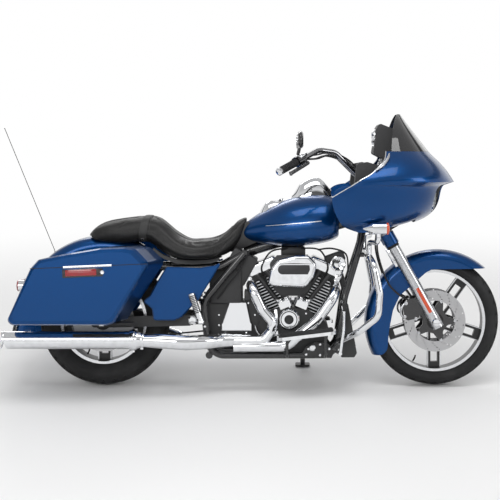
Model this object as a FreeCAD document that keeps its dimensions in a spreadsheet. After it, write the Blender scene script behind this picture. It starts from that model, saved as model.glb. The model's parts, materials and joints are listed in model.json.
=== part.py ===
"""Touring cruiser motorcycle, parked on its side stand.

The pieces are drawn with the machine upright: +X forward from the rear axle, +Y to its left,
+Z up from the line on which the tyres stand. A single placement then leans the whole machine
onto its side stand and puts the origin under the middle of its bounding box.
"""
import FreeCAD, Part
import math
import os

import Sketcher

from FreeCAD import Vector

SIZES = {
    # Stance
    "wheelbase": 1625, "lean_degrees": 8, "seat_gap": 0.3, "moving_gap": 5, "overrun": 40,
    # Rear wheel
    "rear_tyre_radius": 320, "rear_tyre_width": 180, "rear_crown_radius": 100,
    "rear_bead_radius": 213, "rear_bead_width": 124, "shoulder_inset": 2,
    "rear_barrel_radius": 198, "flange_width": 8,
    "rear_hub_radius": 42, "rear_hub_width": 228, "rear_spoke_depth": 40,
    # Front wheel
    "front_tyre_radius": 319, "front_tyre_width": 130, "front_crown_radius": 74,
    "front_bead_radius": 250, "front_bead_width": 88, "front_barrel_radius": 236,
    "front_hub_radius": 38, "front_hub_width": 160, "front_spoke_depth": 34,
    # Spokes, the same casting pattern on both wheels
    "spoke_pairs": 5, "pair_width": 64, "blade_width": 15, "pair_block": 30,
    "wheel_turn_degrees": 180,
    # Axles
    "front_axle_radius": 12.5, "rear_axle_radius": 12.5, "axle_bore_radius": 8,
    "bearing_gap": 0.5, "rear_axle_length": 330, "front_axle_length": 292,
    # Brake discs and belt
    "disc_radius": 150, "disc_inner": 92, "disc_thickness": 5, "disc_offset": 74,
    "rear_disc_offset": 100, "pulley_radius": 112, "pulley_width": 22, "pulley_offset": 104,
    "carrier_thickness": 6, "belt_width": 16, "belt_thickness": 7, "drive_pulley_radius": 62,
    "drive_pulley_ahead": 605, "drive_pulley_height": 330,
    # Swingarm and shocks
    "pivot_ahead": 440, "pivot_height": 330, "arm_offset": 142, "arm_width": 26,
    "arm_height": 52, "pivot_radius": 14, "shock_radius": 26, "shock_rod_radius": 9,
    "shock_offset": 180, "shock_low_ahead": 70, "shock_low_height": 392,
    "shock_top_ahead": 190, "shock_top_height": 612,
    # Steering and fork
    "rake_degrees": 26, "fork_degrees": 29.25, "trail": 173, "fork_offset": 116,
    "slider_radius": 28, "tube_radius": 24.5, "slider_length": 430, "fork_length": 735,
    "stem_radius": 15, "head_radius": 32, "head_length": 110, "head_low": 800,
    "clamp_thickness": 30, "clamp_reach": 34, "steer_gap": 1,
    # Front fender
    "fender_radius": 354, "fender_ahead": 15, "fender_drop": 10, "fender_half_width": 80,
    "fender_wall": 4, "fender_crown": 46, "fender_bolt_radius": 6,
    # Frame
    "backbone_radius": 30, "rail_radius": 17, "rail_offset": 118, "rail_height": 158,
    "down_tube_top_offset": 18, "down_tube_gap": 100, "knee_ahead": 1262,
    "knee_height": 700, "knee_offset": 60, "shin_ahead": 1180, "shin_height": 440,
    "lug_radius": 22, "lug_width": 14, "bracket_radius": 9, "bag_bracket_back": 120,
    "bag_bracket_front": 262, "rail_front_ahead": 1140, "rail_back_ahead": 520,
    "post_radius": 15, "post_offset": 134, "post_top_ahead": 690,
    "post_mid_ahead": 492, "post_mid_height": 420, "seat_rail_height": 585,
    "seat_rail_back": 215, "neck_height": 862, "backbone_back_height": 655,
    # Engine
    "crank_ahead": 930, "crank_height": 190, "vee_degrees": 22.5, "case_radius": 128,
    "case_width": 196, "case_top": 392, "case_length": 330,
    "barrel_start": 165, "barrel_length": 235, "barrel_radius": 58, "fin_width": 152,
    "fin_depth": 148, "fin_pitch": 15, "fin_thickness": 5, "fin_count": 13,
    "rocker_length": 172, "rocker_width": 150, "rocker_height": 52, "rocker_edge": 14,
    # Engine side pieces
    "cam_depth": 42, "cam_radius": 92, "timer_radius": 52,
    "timer_depth": 14, "timer_height": 332, "timer_ahead": 909, "tappet_size": 56,
    "pushrod_radius": 11, "pushrod_offset": 111, "tappet_height": 404, "tappet_spread": 42,
    "cooler_thickness": 62, "ring_groove": 5,
    # Gearbox and primary drive
    "gearbox_length": 262, "gearbox_width": 160, "gearbox_height": 226, "gearbox_low": 192,
    "gearbox_cover_length": 150, "gearbox_cover_height": 141, "gearbox_cover_depth": 22,
    "primary_length": 520, "primary_height": 199, "primary_depth": 72, "primary_start": 113,
    "primary_low": 223, "primary_back": 560,
    # Air cleaner
    "cleaner_back": 807, "cleaner_low": 491, "cleaner_length": 238, "cleaner_height": 156,
    "cleaner_depth": 92, "cleaner_start": 122, "cleaner_edge": 16, "cleaner_recess": 4,
    # Exhaust
    "muffler_radius": 43, "muffler_offset": 275, "muffler_height": 248, "muffler_back": 468,
    "muffler_front": 181, "muffler_wall": 3, "muffler_tip_slant": 34, "collar_radius": 48,
    "collar_length": 34, "pipe_radius": 29, "pipe_height": 234, "pipe_front": 640,
    "header_radius": 26, "header_offset": 170, "cross_ahead": 405, "cross_height": 205,
    "pipe_wall": 3, "muffler_inset": 60, "muffler_neck": 2,
    # Fuel tank and console
    "tank_back": 666, "tank_length": 486, "tank_base": 683, "tank_height": 262,
    "tank_width": 376, "console_back": 706, "console_length": 411, "console_base": 790,
    "console_height": 232, "console_width": 128, "door_back": 812, "door_length": 128,
    "door_width": 56, "door_thickness": 8, "tunnel_gap": 0.5, "door_recess": 12,
    # Seat
    "seat_back": -72, "seat_length": 778, "seat_base": 612, "seat_height": 222,
    "seat_width": 372, "seat_clearance": 0.5,
    # Rear fender
    "tail_radius": 412, "tail_half_width": 108, "tail_wall": 4, "tail_edge": 46,
    "tail_drop": 150, "tail_low_degrees": 28, "tail_high_degrees": 78,
    # Side covers
    "panel_offset": 186, "panel_depth": 30, "panel_back": 202, "panel_length": 382,
    "panel_base": 335, "panel_height": 281, "panel_crown": 12,
    # Saddlebags
    "bag_back": -416, "bag_length": 664, "bag_base": 333, "bag_height": 366,
    "bag_inner": 250, "bag_outer": 442, "bag_wall": 4, "bag_round": 22, "bag_front_slant": 66,
    "seam_back_height": 600, "seam_rise": 23, "seam_gap": 0.6,
    "bag_hinge_radius": 5, "bag_hinge_stand": 4, "bag_hinge_length": 222, "bag_hinge_back": -146,
    # Fairing
    "fairing_back": 1112, "fairing_length": 612, "fairing_base": 762, "fairing_height": 388,
    "fairing_width": 826, "fairing_wall": 5, "screen_back": 1385, "screen_length": 214,
    "screen_height": 184, "screen_width": 530, "screen_wall": 4, "dash_ahead": 1352,
    "dash_wall": 6, "lamp_radius": 78, "lamp_offset": 92, "lamp_height": 934,
    "lamp_back": 1500, "lamp_depth": 96, "lamp_lip": 4, "gauge_radius": 46,
    # Engine guard
    "guard_radius": 16, "guard_width": 680, "guard_top": 642, "guard_drop": 420,
    "guard_back": 1150, "guard_depth": 190,
    # Handlebar
    "bar_radius": 12.7, "bar_width": 900, "bar_clamp_height": 970, "bar_rise": 187,
    "bar_back": 870, "grip_radius": 17, "grip_length": 120, "riser_radius": 14,
    "riser_offset": 50, "lever_radius": 6, "lever_drop": 40, "mirror_length": 150,
    "mirror_height": 84, "mirror_depth": 26, "mirror_rise": 52, "mirror_ahead": 22,
    # Feet
    "board_length": 282, "board_width": 118, "board_thickness": 16, "board_inner": 212,
    "board_back": 851, "board_height": 246, "board_rise": 34, "board_pin_radius": 8,
    "peg_radius": 15, "peg_length": 142, "peg_ahead": 486, "peg_height": 331,
    "peg_rake_degrees": 19, "peg_offset": 246, "peg_pin_radius": 6,
    # Side stand
    "stand_pivot_ahead": 980, "stand_pivot_height": 160, "stand_pivot_offset": 185,
    "stand_foot_offset": 345, "stand_radius": 12, "stand_foot_length": 74,
    "stand_foot_width": 50, "stand_foot_thickness": 10, "stand_pin_radius": 9,
    # Lamps, plate and antenna
    "signal_radius": 28, "signal_length": 74, "signal_offset": 354, "signal_ahead": 1304,
    "signal_height": 784, "plate_width": 190, "plate_height": 122, "plate_thickness": 3,
    "plate_turn_degrees": 12, "plate_spot_degrees": 168, "tail_lamp_degrees": 158,
    "antenna_rake_degrees": 22,
    "tail_lamp_radius": 30, "tail_lamp_offset": 150, "antenna_length": 690,
    "antenna_radius": 1.6, "antenna_foot_radius": 9, "antenna_offset": 150, "antenna_height": 628,
}

doc = FreeCAD.newDocument("cruiser")
sheet = doc.addObject("Spreadsheet::Sheet", "sizes")
for row, (alias, value) in enumerate(SIZES.items(), start=1):
    sheet.set("A%d" % row, alias)
    sheet.set("B%d" % row, str(value))
    sheet.setAlias("B%d" % row, alias)
doc.recompute()


class Sheet:
    """Reads a size from the spreadsheet by its name."""

    def __getattr__(self, name):
        return float(sheet.get(name))


size = Sheet()
LEAN = math.radians(size.lean_degrees)
RAKE = math.radians(size.rake_degrees)
FORK = math.radians(size.fork_degrees)
VEE = math.radians(size.vee_degrees)
X, Y, Z = Vector(1, 0, 0), Vector(0, 1, 0), Vector(0, 0, 1)
FULL_TURN = 360
MIDDLE = Vector(0, 0, 0)


def axle_height(radius, crown):
    """Height of a leaning wheel's axle in the wheel's own plane, so that its crown stands."""
    return radius - crown + crown / math.cos(LEAN)


REAR_Z = axle_height(size.rear_tyre_radius, size.rear_crown_radius)
FRONT_Z = axle_height(size.front_tyre_radius, size.front_crown_radius)
REAR_AXLE = Vector(0, 0, REAR_Z)
FRONT_AXLE = Vector(size.wheelbase, 0, FRONT_Z)
STEER_AXIS = Vector(-math.sin(RAKE), 0, math.cos(RAKE))
FORK_AXIS = Vector(-math.sin(FORK), 0, math.cos(FORK))
STEER_FOOT = Vector(size.wheelbase + size.trail, 0, 0)
LEAN_TURN = FreeCAD.Placement(MIDDLE, FreeCAD.Rotation(X, -size.lean_degrees))


def steer_point(height):
    """The point of the steering axis at a height."""
    return STEER_FOOT + STEER_AXIS * (height / math.cos(RAKE))


def fork_point(along, side=0):
    """A point of a fork leg's axis, measured up from the front axle."""
    return FRONT_AXLE + FORK_AXIS * along + Y * (side * size.fork_offset)


# Shared ways of making shapes

pieces = {}


def keep(label, shape):
    """Store a sub-part's shape, drawn upright, under its own label."""
    item = doc.addObject("Part::Feature", label)
    item.Label = label
    item.Shape = shape
    pieces[label] = item
    return item


def keep_object(label, item):
    """Register a parametric object as a sub-part."""
    item.Label = label
    pieces[label] = item
    return item


def other_side(shape):
    """The shape's mirror image on the left side of the machine."""
    return shape.mirror(MIDDLE, Y)


def pair(shape):
    """A right piece and its left twin."""
    return Part.makeCompound([shape, other_side(shape)])


def rod(start, end, radius):
    """A round bar from one point to another."""
    run = end - start
    return Part.makeCylinder(radius, run.Length, start, run)


def joined(shapes):
    """Fuse shapes into one and drop the seams between them."""
    return shapes[0].multiFuse(shapes[1:]).removeSplitter()


def welded(shapes):
    """Fuse many tubes, their seams kept where they meet."""
    return shapes[0].multiFuse(shapes[1:])


def closed_curve(points):
    """A smooth closed wire through points."""
    curve = Part.BSplineCurve()
    curve.interpolate(points, PeriodicFlag=True)
    return Part.Wire(curve.toShape())


def polygon(points):
    """A closed wire of straight runs."""
    return Part.makePolygon(points + points[:1])


def loft(wires, ruled=False):
    """A solid through closed wires."""
    return Part.makeLoft(wires, True, ruled)


def outline(shares, back, base, length, height, across=0):
    """Side-view points, given as shares of a length and a height."""
    return [Vector(back + a * length, across, base + b * height) for a, b in shares]


def rounded_corners(points, radius):
    """A closed wire of straight runs with its corners rounded, flatter where a run is short."""
    edges = []
    last = len(points)
    starts, ends = [], []
    for i, corner in enumerate(points):
        back = points[i - 1] - corner
        ahead = points[(i + 1) % last] - corner
        half_turn = back.getAngle(ahead) / 2
        cut = min(radius / math.tan(half_turn), back.Length * 0.45, ahead.Length * 0.45)
        start = corner + back.normalize() * cut
        end = corner + ahead.normalize() * cut
        centre_way = (start + end) / 2 - corner
        reach = cut / math.cos(half_turn) - cut * math.tan(half_turn)
        middle = corner + centre_way.normalize() * reach
        edges.append(Part.Arc(start, middle, end).toShape())
        starts.append(start)
        ends.append(end)
    runs = []
    for i in range(last):
        runs.append(edges[i])
        begin, finish = ends[i], starts[(i + 1) % last]
        if begin.distanceToPoint(finish) > size.seat_gap:
            runs.append(Part.makeLine(begin, finish))
    return Part.Wire(runs)


def slab(wire, depth):
    """A plate from a closed side-view wire, grown along Y."""
    return Part.Face(wire).extrude(Y * depth)


def bent_tube(points, radius, bend):
    """A round tube along straight runs joined by tangent arcs."""
    edges = []
    place = points[0]
    for i in range(1, len(points) - 1):
        corner = points[i]
        back = points[i - 1] - corner
        ahead = points[i + 1] - corner
        half_turn = back.getAngle(ahead) / 2
        cut = min(bend / math.tan(half_turn), back.Length * 0.45, ahead.Length * 0.45)
        start = corner + back.normalize() * cut
        end = corner + ahead.normalize() * cut
        centre_way = ((start + end) / 2 - corner).normalize()
        reach = cut / math.cos(half_turn) - cut * math.tan(half_turn)
        edges.append(Part.makeLine(place, start))
        edges.append(Part.Arc(start, corner + centre_way * reach, end).toShape())
        place = end
    edges.append(Part.makeLine(place, points[-1]))
    path = Part.Wire(edges)
    section = Part.Wire(Part.makeCircle(radius, points[0], points[1] - points[0]))
    return path.makePipeShell([section], True, False)


def egg_section(ahead, half_width, low, top, flat=0.8, sides=14, belly=0.0):
    """A closed cross-section at a place along X, rounder with flat near 1, squarer near 0.5.

    The belly moves the widest level down from the middle, as a share of the height.
    """
    points = []
    middle = (low + top) / 2
    half = (top - low) / 2
    for i in range(sides):
        turn = 2 * math.pi * i / sides
        c, s = math.cos(turn), math.sin(turn)
        across = half_width * math.copysign(abs(c) ** flat, c)
        up = middle + half * math.copysign(abs(s) ** flat, s)
        up -= belly * half * (1 - abs(s)) * 2
        points.append(Vector(ahead, across, up))
    return closed_curve(points)


# Parametric bodies

def datum(body, role):
    """One of a body's own origin planes or axes."""
    return next(f for f in body.Origin.OriginFeatures if f.Role == role)


def new_body(label):
    body = doc.addObject("PartDesign::Body", label)
    return body


def new_sketch(body, role, name):
    """An empty sketch on one of the body's origin planes."""
    sketch = body.newObject("Sketcher::SketchObject", name)
    sketch.AttachmentSupport = [(datum(body, role), "")]
    sketch.MapMode = "FlatFace"
    return sketch


def fix_point(sketch, edge, end, across, up, tag):
    """Tie a point of a sketch to two expressions."""
    for kind, way, text in (("DistanceX", "across", across), ("DistanceY", "up", up)):
        value = sheet_value(text)
        index = sketch.addConstraint(Sketcher.Constraint(kind, -1, 1, edge, end, value))
        sketch.renameConstraint(index, way + tag)
        sketch.setExpression("Constraints." + way + tag, with_sheet(text))


def with_sheet(text):
    """The expression with each size read from the spreadsheet."""
    words = []
    for word in text.split():
        bare = word.lstrip("-")
        words.append(word.replace(bare, "sizes." + bare) if bare in SIZES else word)
    return " ".join(words)


def sheet_value(text):
    """The number that an expression of sizes gives, its terms taken from left to right."""
    total, sign = 0.0, "+"
    for word in text.split():
        if word in "+-*/":
            sign = word
            continue
        bare = word.lstrip("-")
        number = float(sheet.get(bare)) if bare in SIZES else float(bare)
        number = -number if word.startswith("-") else number
        steps = {"+": total + number, "-": total - number, "*": total * number}
        total = total / number if sign == "/" else steps[sign]
    return total


def sketch_polygon(sketch, corners, tag=""):
    """A closed polygon whose corners are pairs of expressions."""
    first = sketch.GeometryCount
    spots = [Vector(sheet_value(a), sheet_value(b), 0) for a, b in corners]
    for i, spot in enumerate(spots):
        sketch.addGeometry(Part.LineSegment(spot, spots[(i + 1) % len(spots)]), False)
    for i, (across, up) in enumerate(corners):
        following = first + (i + 1) % len(corners)
        sketch.addConstraint(Sketcher.Constraint("Coincident", first + i, 2, following, 1))
        fix_point(sketch, first + i, 1, across, up, "%s_%d" % (tag, i))
    return sketch


def sketch_circle(sketch, radius, across="0", up="0", tag=""):
    """A circle whose radius and centre are expressions."""
    centre = Vector(sheet_value(across), sheet_value(up), 0)
    edge = sketch.addGeometry(Part.Circle(centre, Z, sheet_value(radius)), False)
    index = sketch.addConstraint(Sketcher.Constraint("Radius", edge, sheet_value(radius)))
    sketch.renameConstraint(index, "radius" + tag)
    sketch.setExpression("Constraints.radius" + tag, with_sheet(radius))
    fix_point(sketch, edge, 3, across, up, tag + "c")
    return sketch


def sketch_arc(sketch, a, b, radius, bulge, tag):
    """An arc between two points, bulging to the side that the hint gives."""
    r = sheet_value(radius)
    rise = r - math.sqrt(max(r * r - (b - a).Length ** 2 / 4, 0))
    edge = sketch.addGeometry(Part.Arc(a, (a + b) / 2 + bulge * rise, b), False)
    curve = sketch.Geometry[edge]
    head = 1 if curve.StartPoint.distanceToPoint(a) < curve.EndPoint.distanceToPoint(a) else 2
    index = sketch.addConstraint(Sketcher.Constraint("Radius", edge, r))
    sketch.renameConstraint(index, "radius" + tag)
    sketch.setExpression("Constraints.radius" + tag, with_sheet(radius))
    return edge, head, 3 - head


def pad(body, sketch, length, name):
    """Grow a sketch to both sides of its plane by a length given as an expression."""
    feature = body.newObject("PartDesign::Pad", name)
    feature.Profile = sketch
    feature.Midplane = True
    feature.setExpression("Length", with_sheet(length))
    return feature


def turned(body, sketch, axis, name):
    """Revolve a sketch fully about one of its own axes."""
    feature = body.newObject("PartDesign::Revolution", name)
    feature.Profile = sketch
    feature.ReferenceAxis = (sketch, [axis])
    feature.Angle = FULL_TURN
    return feature


def around_axle(body, features, name):
    """Repeat features about the wheel's axle."""
    pattern = body.newObject("PartDesign::PolarPattern", name)
    pattern.Originals = features
    pattern.Axis = (datum(body, "Y_Axis"), [""])
    pattern.Angle = FULL_TURN
    pattern.setExpression("Occurrences", "sizes.spoke_pairs")
    body.Tip = pattern
    return pattern


# Wheels

def tyre(label, end, axle):
    """A tyre with a round crown, curved sidewalls and a plain bead seat."""
    body = new_body(label)
    sketch = new_sketch(body, "YZ_Plane", label + "_profile")
    half_bead, bead = end + "_bead_width / 2", end + "_bead_radius"
    half_tread = end + "_tyre_width / 2 - shoulder_inset"
    crown = end + "_crown_radius"
    centre = end + "_tyre_radius - " + crown
    reach = sheet_value(half_tread)
    shoulder = sheet_value(centre) + math.sqrt(sheet_value(crown) ** 2 - reach ** 2)
    foot_x, foot_y = sheet_value(half_bead), sheet_value(bead)
    spots = [Vector(-foot_x, foot_y, 0), Vector(foot_x, foot_y, 0),
             Vector(reach, shoulder, 0), Vector(-reach, shoulder, 0)]
    sketch.addGeometry(Part.LineSegment(spots[0], spots[1]), False)
    fix_point(sketch, 0, 1, "-" + half_bead, bead, "left")
    fix_point(sketch, 0, 2, half_bead, bead, "right")
    right = sketch_arc(sketch, spots[1], spots[2], crown, X, "right_wall")
    top = sketch_arc(sketch, spots[2], spots[3], crown, Y, "tread")
    left = sketch_arc(sketch, spots[3], spots[0], crown, -X, "left_wall")
    joints = [(0, 2, right[0], right[1]), (right[0], right[2], top[0], top[1]),
              (top[0], top[2], left[0], left[1]), (left[0], left[2], 0, 1)]
    for one, end_one, two, end_two in joints:
        sketch.addConstraint(Sketcher.Constraint("Coincident", one, end_one, two, end_two))
    fix_point(sketch, top[0], 3, "0", centre, "tread_centre")
    index = sketch.addConstraint(Sketcher.Constraint("DistanceX", -1, 1, top[0], top[1], reach))
    sketch.renameConstraint(index, "half_tread")
    sketch.setExpression("Constraints.half_tread", with_sheet(half_tread))
    sketch.addConstraint(Sketcher.Constraint("Symmetric", top[0], top[1], top[0], top[2], -2))
    turned(body, sketch, "H_Axis", label + "_ring")
    body.Placement = FreeCAD.Placement(axle, FreeCAD.Rotation(Y, size.wheel_turn_degrees))
    return keep_object(label, body)


def rim(label, end, axle):
    """A cast wheel: barrel, flanges, hub and pairs of parallel blades ending in a block."""
    body = new_body(label)
    barrel = new_sketch(body, "YZ_Plane", label + "_barrel")
    half = end + "_bead_width / 2"
    edge = half + " + flange_width"
    bead, inner = end + "_bead_radius - seat_gap", end + "_barrel_radius"
    left_edge = "-" + half + " - flange_width"
    sketch_polygon(barrel, [(left_edge, inner), (edge, inner), (edge, bead), (left_edge, bead)])
    turned(body, barrel, "H_Axis", label + "_ring")
    doc.recompute()
    spokes = new_sketch(body, "XZ_Plane", label + "_spokes")
    side, slot = "pair_width / 2", "pair_width / 2 - blade_width"
    slot_left = "-pair_width / 2 + blade_width"
    hub, hub_end = end + "_hub_radius / 2", end + "_hub_radius + blade_width"
    reach = end + "_barrel_radius + seat_gap"
    slot_end = end + "_barrel_radius - pair_block"
    sketch_polygon(spokes, [("-" + side, hub), (side, hub), (side, reach), ("-" + side, reach)])
    sketch_polygon(spokes, [(slot_left, hub_end), (slot_left, slot_end), (slot, slot_end),
                            (slot, hub_end)], "slot")
    blades = pad(body, spokes, end + "_spoke_depth", label + "_blades")
    doc.recompute()
    around_axle(body, [blades], label + "_pattern")
    doc.recompute()
    hub_sketch = new_sketch(body, "XZ_Plane", label + "_hub")
    sketch_circle(hub_sketch, end + "_hub_radius")
    hub_pad = pad(body, hub_sketch, end + "_hub_width", label + "_hub_pad")
    body.Tip = hub_pad
    doc.recompute()
    bore = new_sketch(body, "XZ_Plane", label + "_bore")
    sketch_circle(bore, end + "_axle_radius + bearing_gap")
    cut = body.newObject("PartDesign::Pocket", label + "_bore_cut")
    cut.Profile = bore
    cut.Type = "ThroughAll"
    cut.Midplane = True
    body.Tip = cut
    body.Placement = FreeCAD.Placement(axle, FreeCAD.Rotation(Y, size.wheel_turn_degrees))
    return keep_object(label, body)


def ring(axle, outer, inner, middle, width):
    """A flat ring about the axle, given the middle of its width across the machine."""
    start = axle + Y * (middle - width / 2)
    disc = Part.makeCylinder(outer, width, start, Y)
    return disc.cut(Part.makeCylinder(inner, width, start, Y))


def brake_disc(axle, offset, hub):
    """A brake disc with the narrower carrier that bolts to the hub."""
    band = ring(axle, size.disc_radius, size.disc_inner, offset, size.disc_thickness)
    carrier = ring(axle, size.disc_inner, hub + size.seat_gap, offset, size.carrier_thickness)
    return joined([band, carrier])


def wheels():
    tyre("rear_tyre", "rear", REAR_AXLE)
    rim("rear_rim", "rear", REAR_AXLE)
    tyre("front_tyre", "front", FRONT_AXLE)
    rim("front_rim", "front", FRONT_AXLE)
    front = brake_disc(FRONT_AXLE, -size.disc_offset, size.front_hub_radius)
    keep("front_discs", pair(front))
    rear = brake_disc(REAR_AXLE, -size.rear_disc_offset + size.disc_thickness * 3,
                      size.rear_hub_radius)
    toothed = ring(REAR_AXLE, size.pulley_radius, size.rear_hub_radius + size.seat_gap,
                   size.pulley_offset, size.pulley_width)
    keep("rear_disc_and_pulley", Part.makeCompound([rear, toothed]))


# Rear end

def swingarm():
    """Two arms and a cross tube, from the pivot to the rear axle, with the brake calliper."""
    pivot = Vector(size.pivot_ahead, 0, size.pivot_height)
    half = size.arm_width / 2
    parts = []
    for side in (-1, 1):
        middle = side * size.arm_offset
        low = [Vector(-size.arm_height, middle - half, REAR_Z - size.arm_height / 2),
               Vector(size.arm_height, middle - half, REAR_Z - size.arm_height / 2),
               Vector(pivot.x, middle - half, pivot.z - size.arm_height / 2),
               Vector(pivot.x, middle - half, pivot.z + size.arm_height / 2),
               Vector(size.arm_height, middle - half, REAR_Z + size.arm_height / 2),
               Vector(-size.arm_height, middle - half, REAR_Z + size.arm_height / 2)]
        arm = slab(rounded_corners(low, size.arm_height / 3), size.arm_width)
        lug_foot = Vector(size.shock_low_ahead, middle + half * side, size.shock_low_height)
        arm = arm.fuse(rod(lug_foot - Z * size.arm_height, lug_foot - Z * size.shock_radius,
                           size.shock_rod_radius))
        parts.append(arm)
    reach = size.arm_offset + half
    cross = pivot - X * (size.arm_height * 1.6)
    parts.append(Part.makeCylinder(size.arm_height * 0.4, 2 * reach, cross - Y * reach, Y))
    arm_set = joined(parts)
    axle_hole = Part.makeCylinder(size.rear_axle_radius + size.seat_gap, 2 * reach,
                                  REAR_AXLE - Y * reach, Y)
    pivot_hole = Part.makeCylinder(size.pivot_radius + size.seat_gap, 2 * reach,
                                   pivot - Y * reach, Y)
    keep("swingarm", arm_set.cut(axle_hole).cut(pivot_hole))


def rear_axle():
    """The hollow rear axle, open at both ends for a stand's pins."""
    item = doc.addObject("Part::Cut", "rear_axle")
    outside = doc.addObject("Part::Cylinder", "rear_axle_outside")
    inside = doc.addObject("Part::Cylinder", "rear_axle_inside")
    outside.setExpression("Radius", "sizes.rear_axle_radius")
    inside.setExpression("Radius", "sizes.axle_bore_radius")
    for cylinder in (outside, inside):
        cylinder.setExpression("Height", "sizes.rear_axle_length")
    item.Base, item.Tool = outside, inside
    item.Placement = FreeCAD.Placement(REAR_AXLE + Y * (size.rear_axle_length / 2),
                                       FreeCAD.Rotation(X, 90))
    keep_object("rear_axle", item)


def drive_belt():
    """The toothless outline of the belt round its two pulleys, on the left side."""
    start = size.pulley_offset - size.belt_width / 2
    far = Vector(size.drive_pulley_ahead, 0, size.drive_pulley_height)

    def band(extra, width, across):
        big, small = size.pulley_radius + extra, size.drive_pulley_radius + extra
        run = far - REAR_AXLE
        turn = math.acos((big - small) / run.Length)
        along = math.atan2(run.z, run.x)
        ends = []
        for centre, radius in ((REAR_AXLE, big), (far, small)):
            for side in (1, -1):
                angle = along + side * turn
                ends.append(centre + Vector(math.cos(angle), 0, math.sin(angle)) * radius)
        back = REAR_AXLE - run.normalize() * big
        front = far + (far - REAR_AXLE).normalize() * small
        edges = [Part.Arc(ends[0], back, ends[1]).toShape(), Part.makeLine(ends[1], ends[3]),
                 Part.Arc(ends[3], front, ends[2]).toShape(), Part.makeLine(ends[2], ends[0])]
        wire = Part.Wire(edges)
        wire.translate(Y * across)
        return slab(wire, width)

    outer = band(size.belt_thickness, size.belt_width, start)
    inner = band(size.seat_gap, size.belt_width, start)
    drive = Part.makeCylinder(size.drive_pulley_radius, size.belt_width, far + Y * start, Y)
    keep("drive_belt", Part.makeCompound([outer.cut(inner), drive]))


def shocks():
    """Two dampers from the arms to the frame, with the thinner rod below the can."""
    low = Vector(size.shock_low_ahead, -size.shock_offset, size.shock_low_height)
    top = Vector(size.shock_top_ahead, -size.shock_offset, size.shock_top_height)
    run = top - low
    middle = low + run * 0.3
    can = rod(middle, top, size.shock_radius)
    shaft = rod(low, middle, size.shock_rod_radius)
    eye = Part.makeCylinder(size.shock_radius * 0.7, size.arm_width, low - Y * (size.arm_width / 2), Y)
    keep("rear_shocks", pair(joined([can, shaft, eye])))


def channel_edges(radius, half, crown, low):
    """The edges of an upside-down U standing at the top of a wheel, its crown rounded."""
    lean_in = 1 - math.sqrt(0.5)
    a, b = Vector(0, -half, low), Vector(0, -half, radius - crown)
    c, d = Vector(0, half - crown, radius), Vector(0, half, low)
    left_top, right_top = Vector(0, crown - half, radius), Vector(0, half - crown, radius)
    left = Part.Arc(b, Vector(0, crown * lean_in - half, radius - crown * lean_in), left_top)
    top = Part.Arc(left_top, Vector(0, 0, radius + crown * 0.1), right_top)
    right = Part.Arc(c, Vector(0, half - crown * lean_in, radius - crown * lean_in),
                     Vector(0, half, radius - crown))
    return [Part.makeLine(a, b), left.toShape(), top.toShape(), right.toShape(),
            Part.makeLine(Vector(0, half, radius - crown), d)]


def channel_face(radius, half, crown, wall, low):
    """The cross-section of a fender's wall."""
    outside = channel_edges(radius, half, crown, low)
    inside = channel_edges(radius - wall, half - wall, crown - wall, low)
    feet = [Part.makeLine(Vector(0, -half, low), Vector(0, wall - half, low)),
            Part.makeLine(Vector(0, half, low), Vector(0, half - wall, low))]
    return Part.Face(Part.Wire(Part.__sortEdges__(outside + inside + feet)))


def rear_fender():
    """A channel over the rear tyre that runs straight down behind it."""
    low = size.rear_bead_radius * 1.1
    face = channel_face(size.tail_radius, size.tail_half_width, size.tail_edge, size.tail_wall, low)
    front, back = -size.tail_low_degrees, size.tail_high_degrees
    face.rotate(MIDDLE, Y, -front)
    arch = face.revolve(MIDDLE, Y, front - back)
    face.rotate(MIDDLE, Y, front - back)
    way = Vector(-math.cos(math.radians(back)), 0, -math.sin(math.radians(back)))
    tail = face.extrude(way * size.tail_drop)
    shell = arch.fuse(tail)
    shell.translate(REAR_AXLE)
    tyre_room = Part.makeCylinder(size.rear_tyre_radius + size.moving_gap * 2,
                                  size.tail_half_width * 2, REAR_AXLE - Y * size.tail_half_width, Y)
    keep("rear_fender", shell.cut(tyre_room))


# Front end

FENDER_SKIRT_SHARES = [(1.02, 0.78), (0.93, 0.724), (-0.05, 0.714), (-0.15, 0.672),
                       (-0.593, 0.352), (-0.71, 0.148), (-0.78, -0.155), (-0.81, -0.47),
                       (-1.3, -0.49), (-1.3, 1.3), (1.02, 1.3)]


def front_fender():
    """A close fender: an arched channel trimmed to its side outline, bolted to the sliders."""
    centre = FRONT_AXLE + X * size.fender_ahead - Z * size.fender_drop

    wall = size.fender_wall
    face = channel_face(size.fender_radius, size.fender_half_width, size.fender_crown, wall,
                        size.fender_radius * 0.55)
    ring_shape = face.revolve(MIDDLE, Y, FULL_TURN)
    ring_shape.translate(centre)
    reach = size.fender_radius
    trim = [FRONT_AXLE + Vector(a * reach * 0.82, -reach, b * reach) for a, b in FENDER_SKIRT_SHARES]
    mask = slab(rounded_corners(trim, size.fender_crown), 2 * reach)
    shell = ring_shape.common(mask)
    tabs = []
    for along in (0.58, 0.69):
        for side in (-1, 1):
            spot = fork_point(size.slider_length * along, side)
            spot = Vector(spot.x, side * (size.fork_offset - size.slider_radius), spot.z)
            start = Vector(spot.x, side * (size.fender_half_width - wall / 2), spot.z)
            tabs.append(rod(start, spot, size.fender_bolt_radius))
    keep("front_fender", joined([shell] + tabs))


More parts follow.
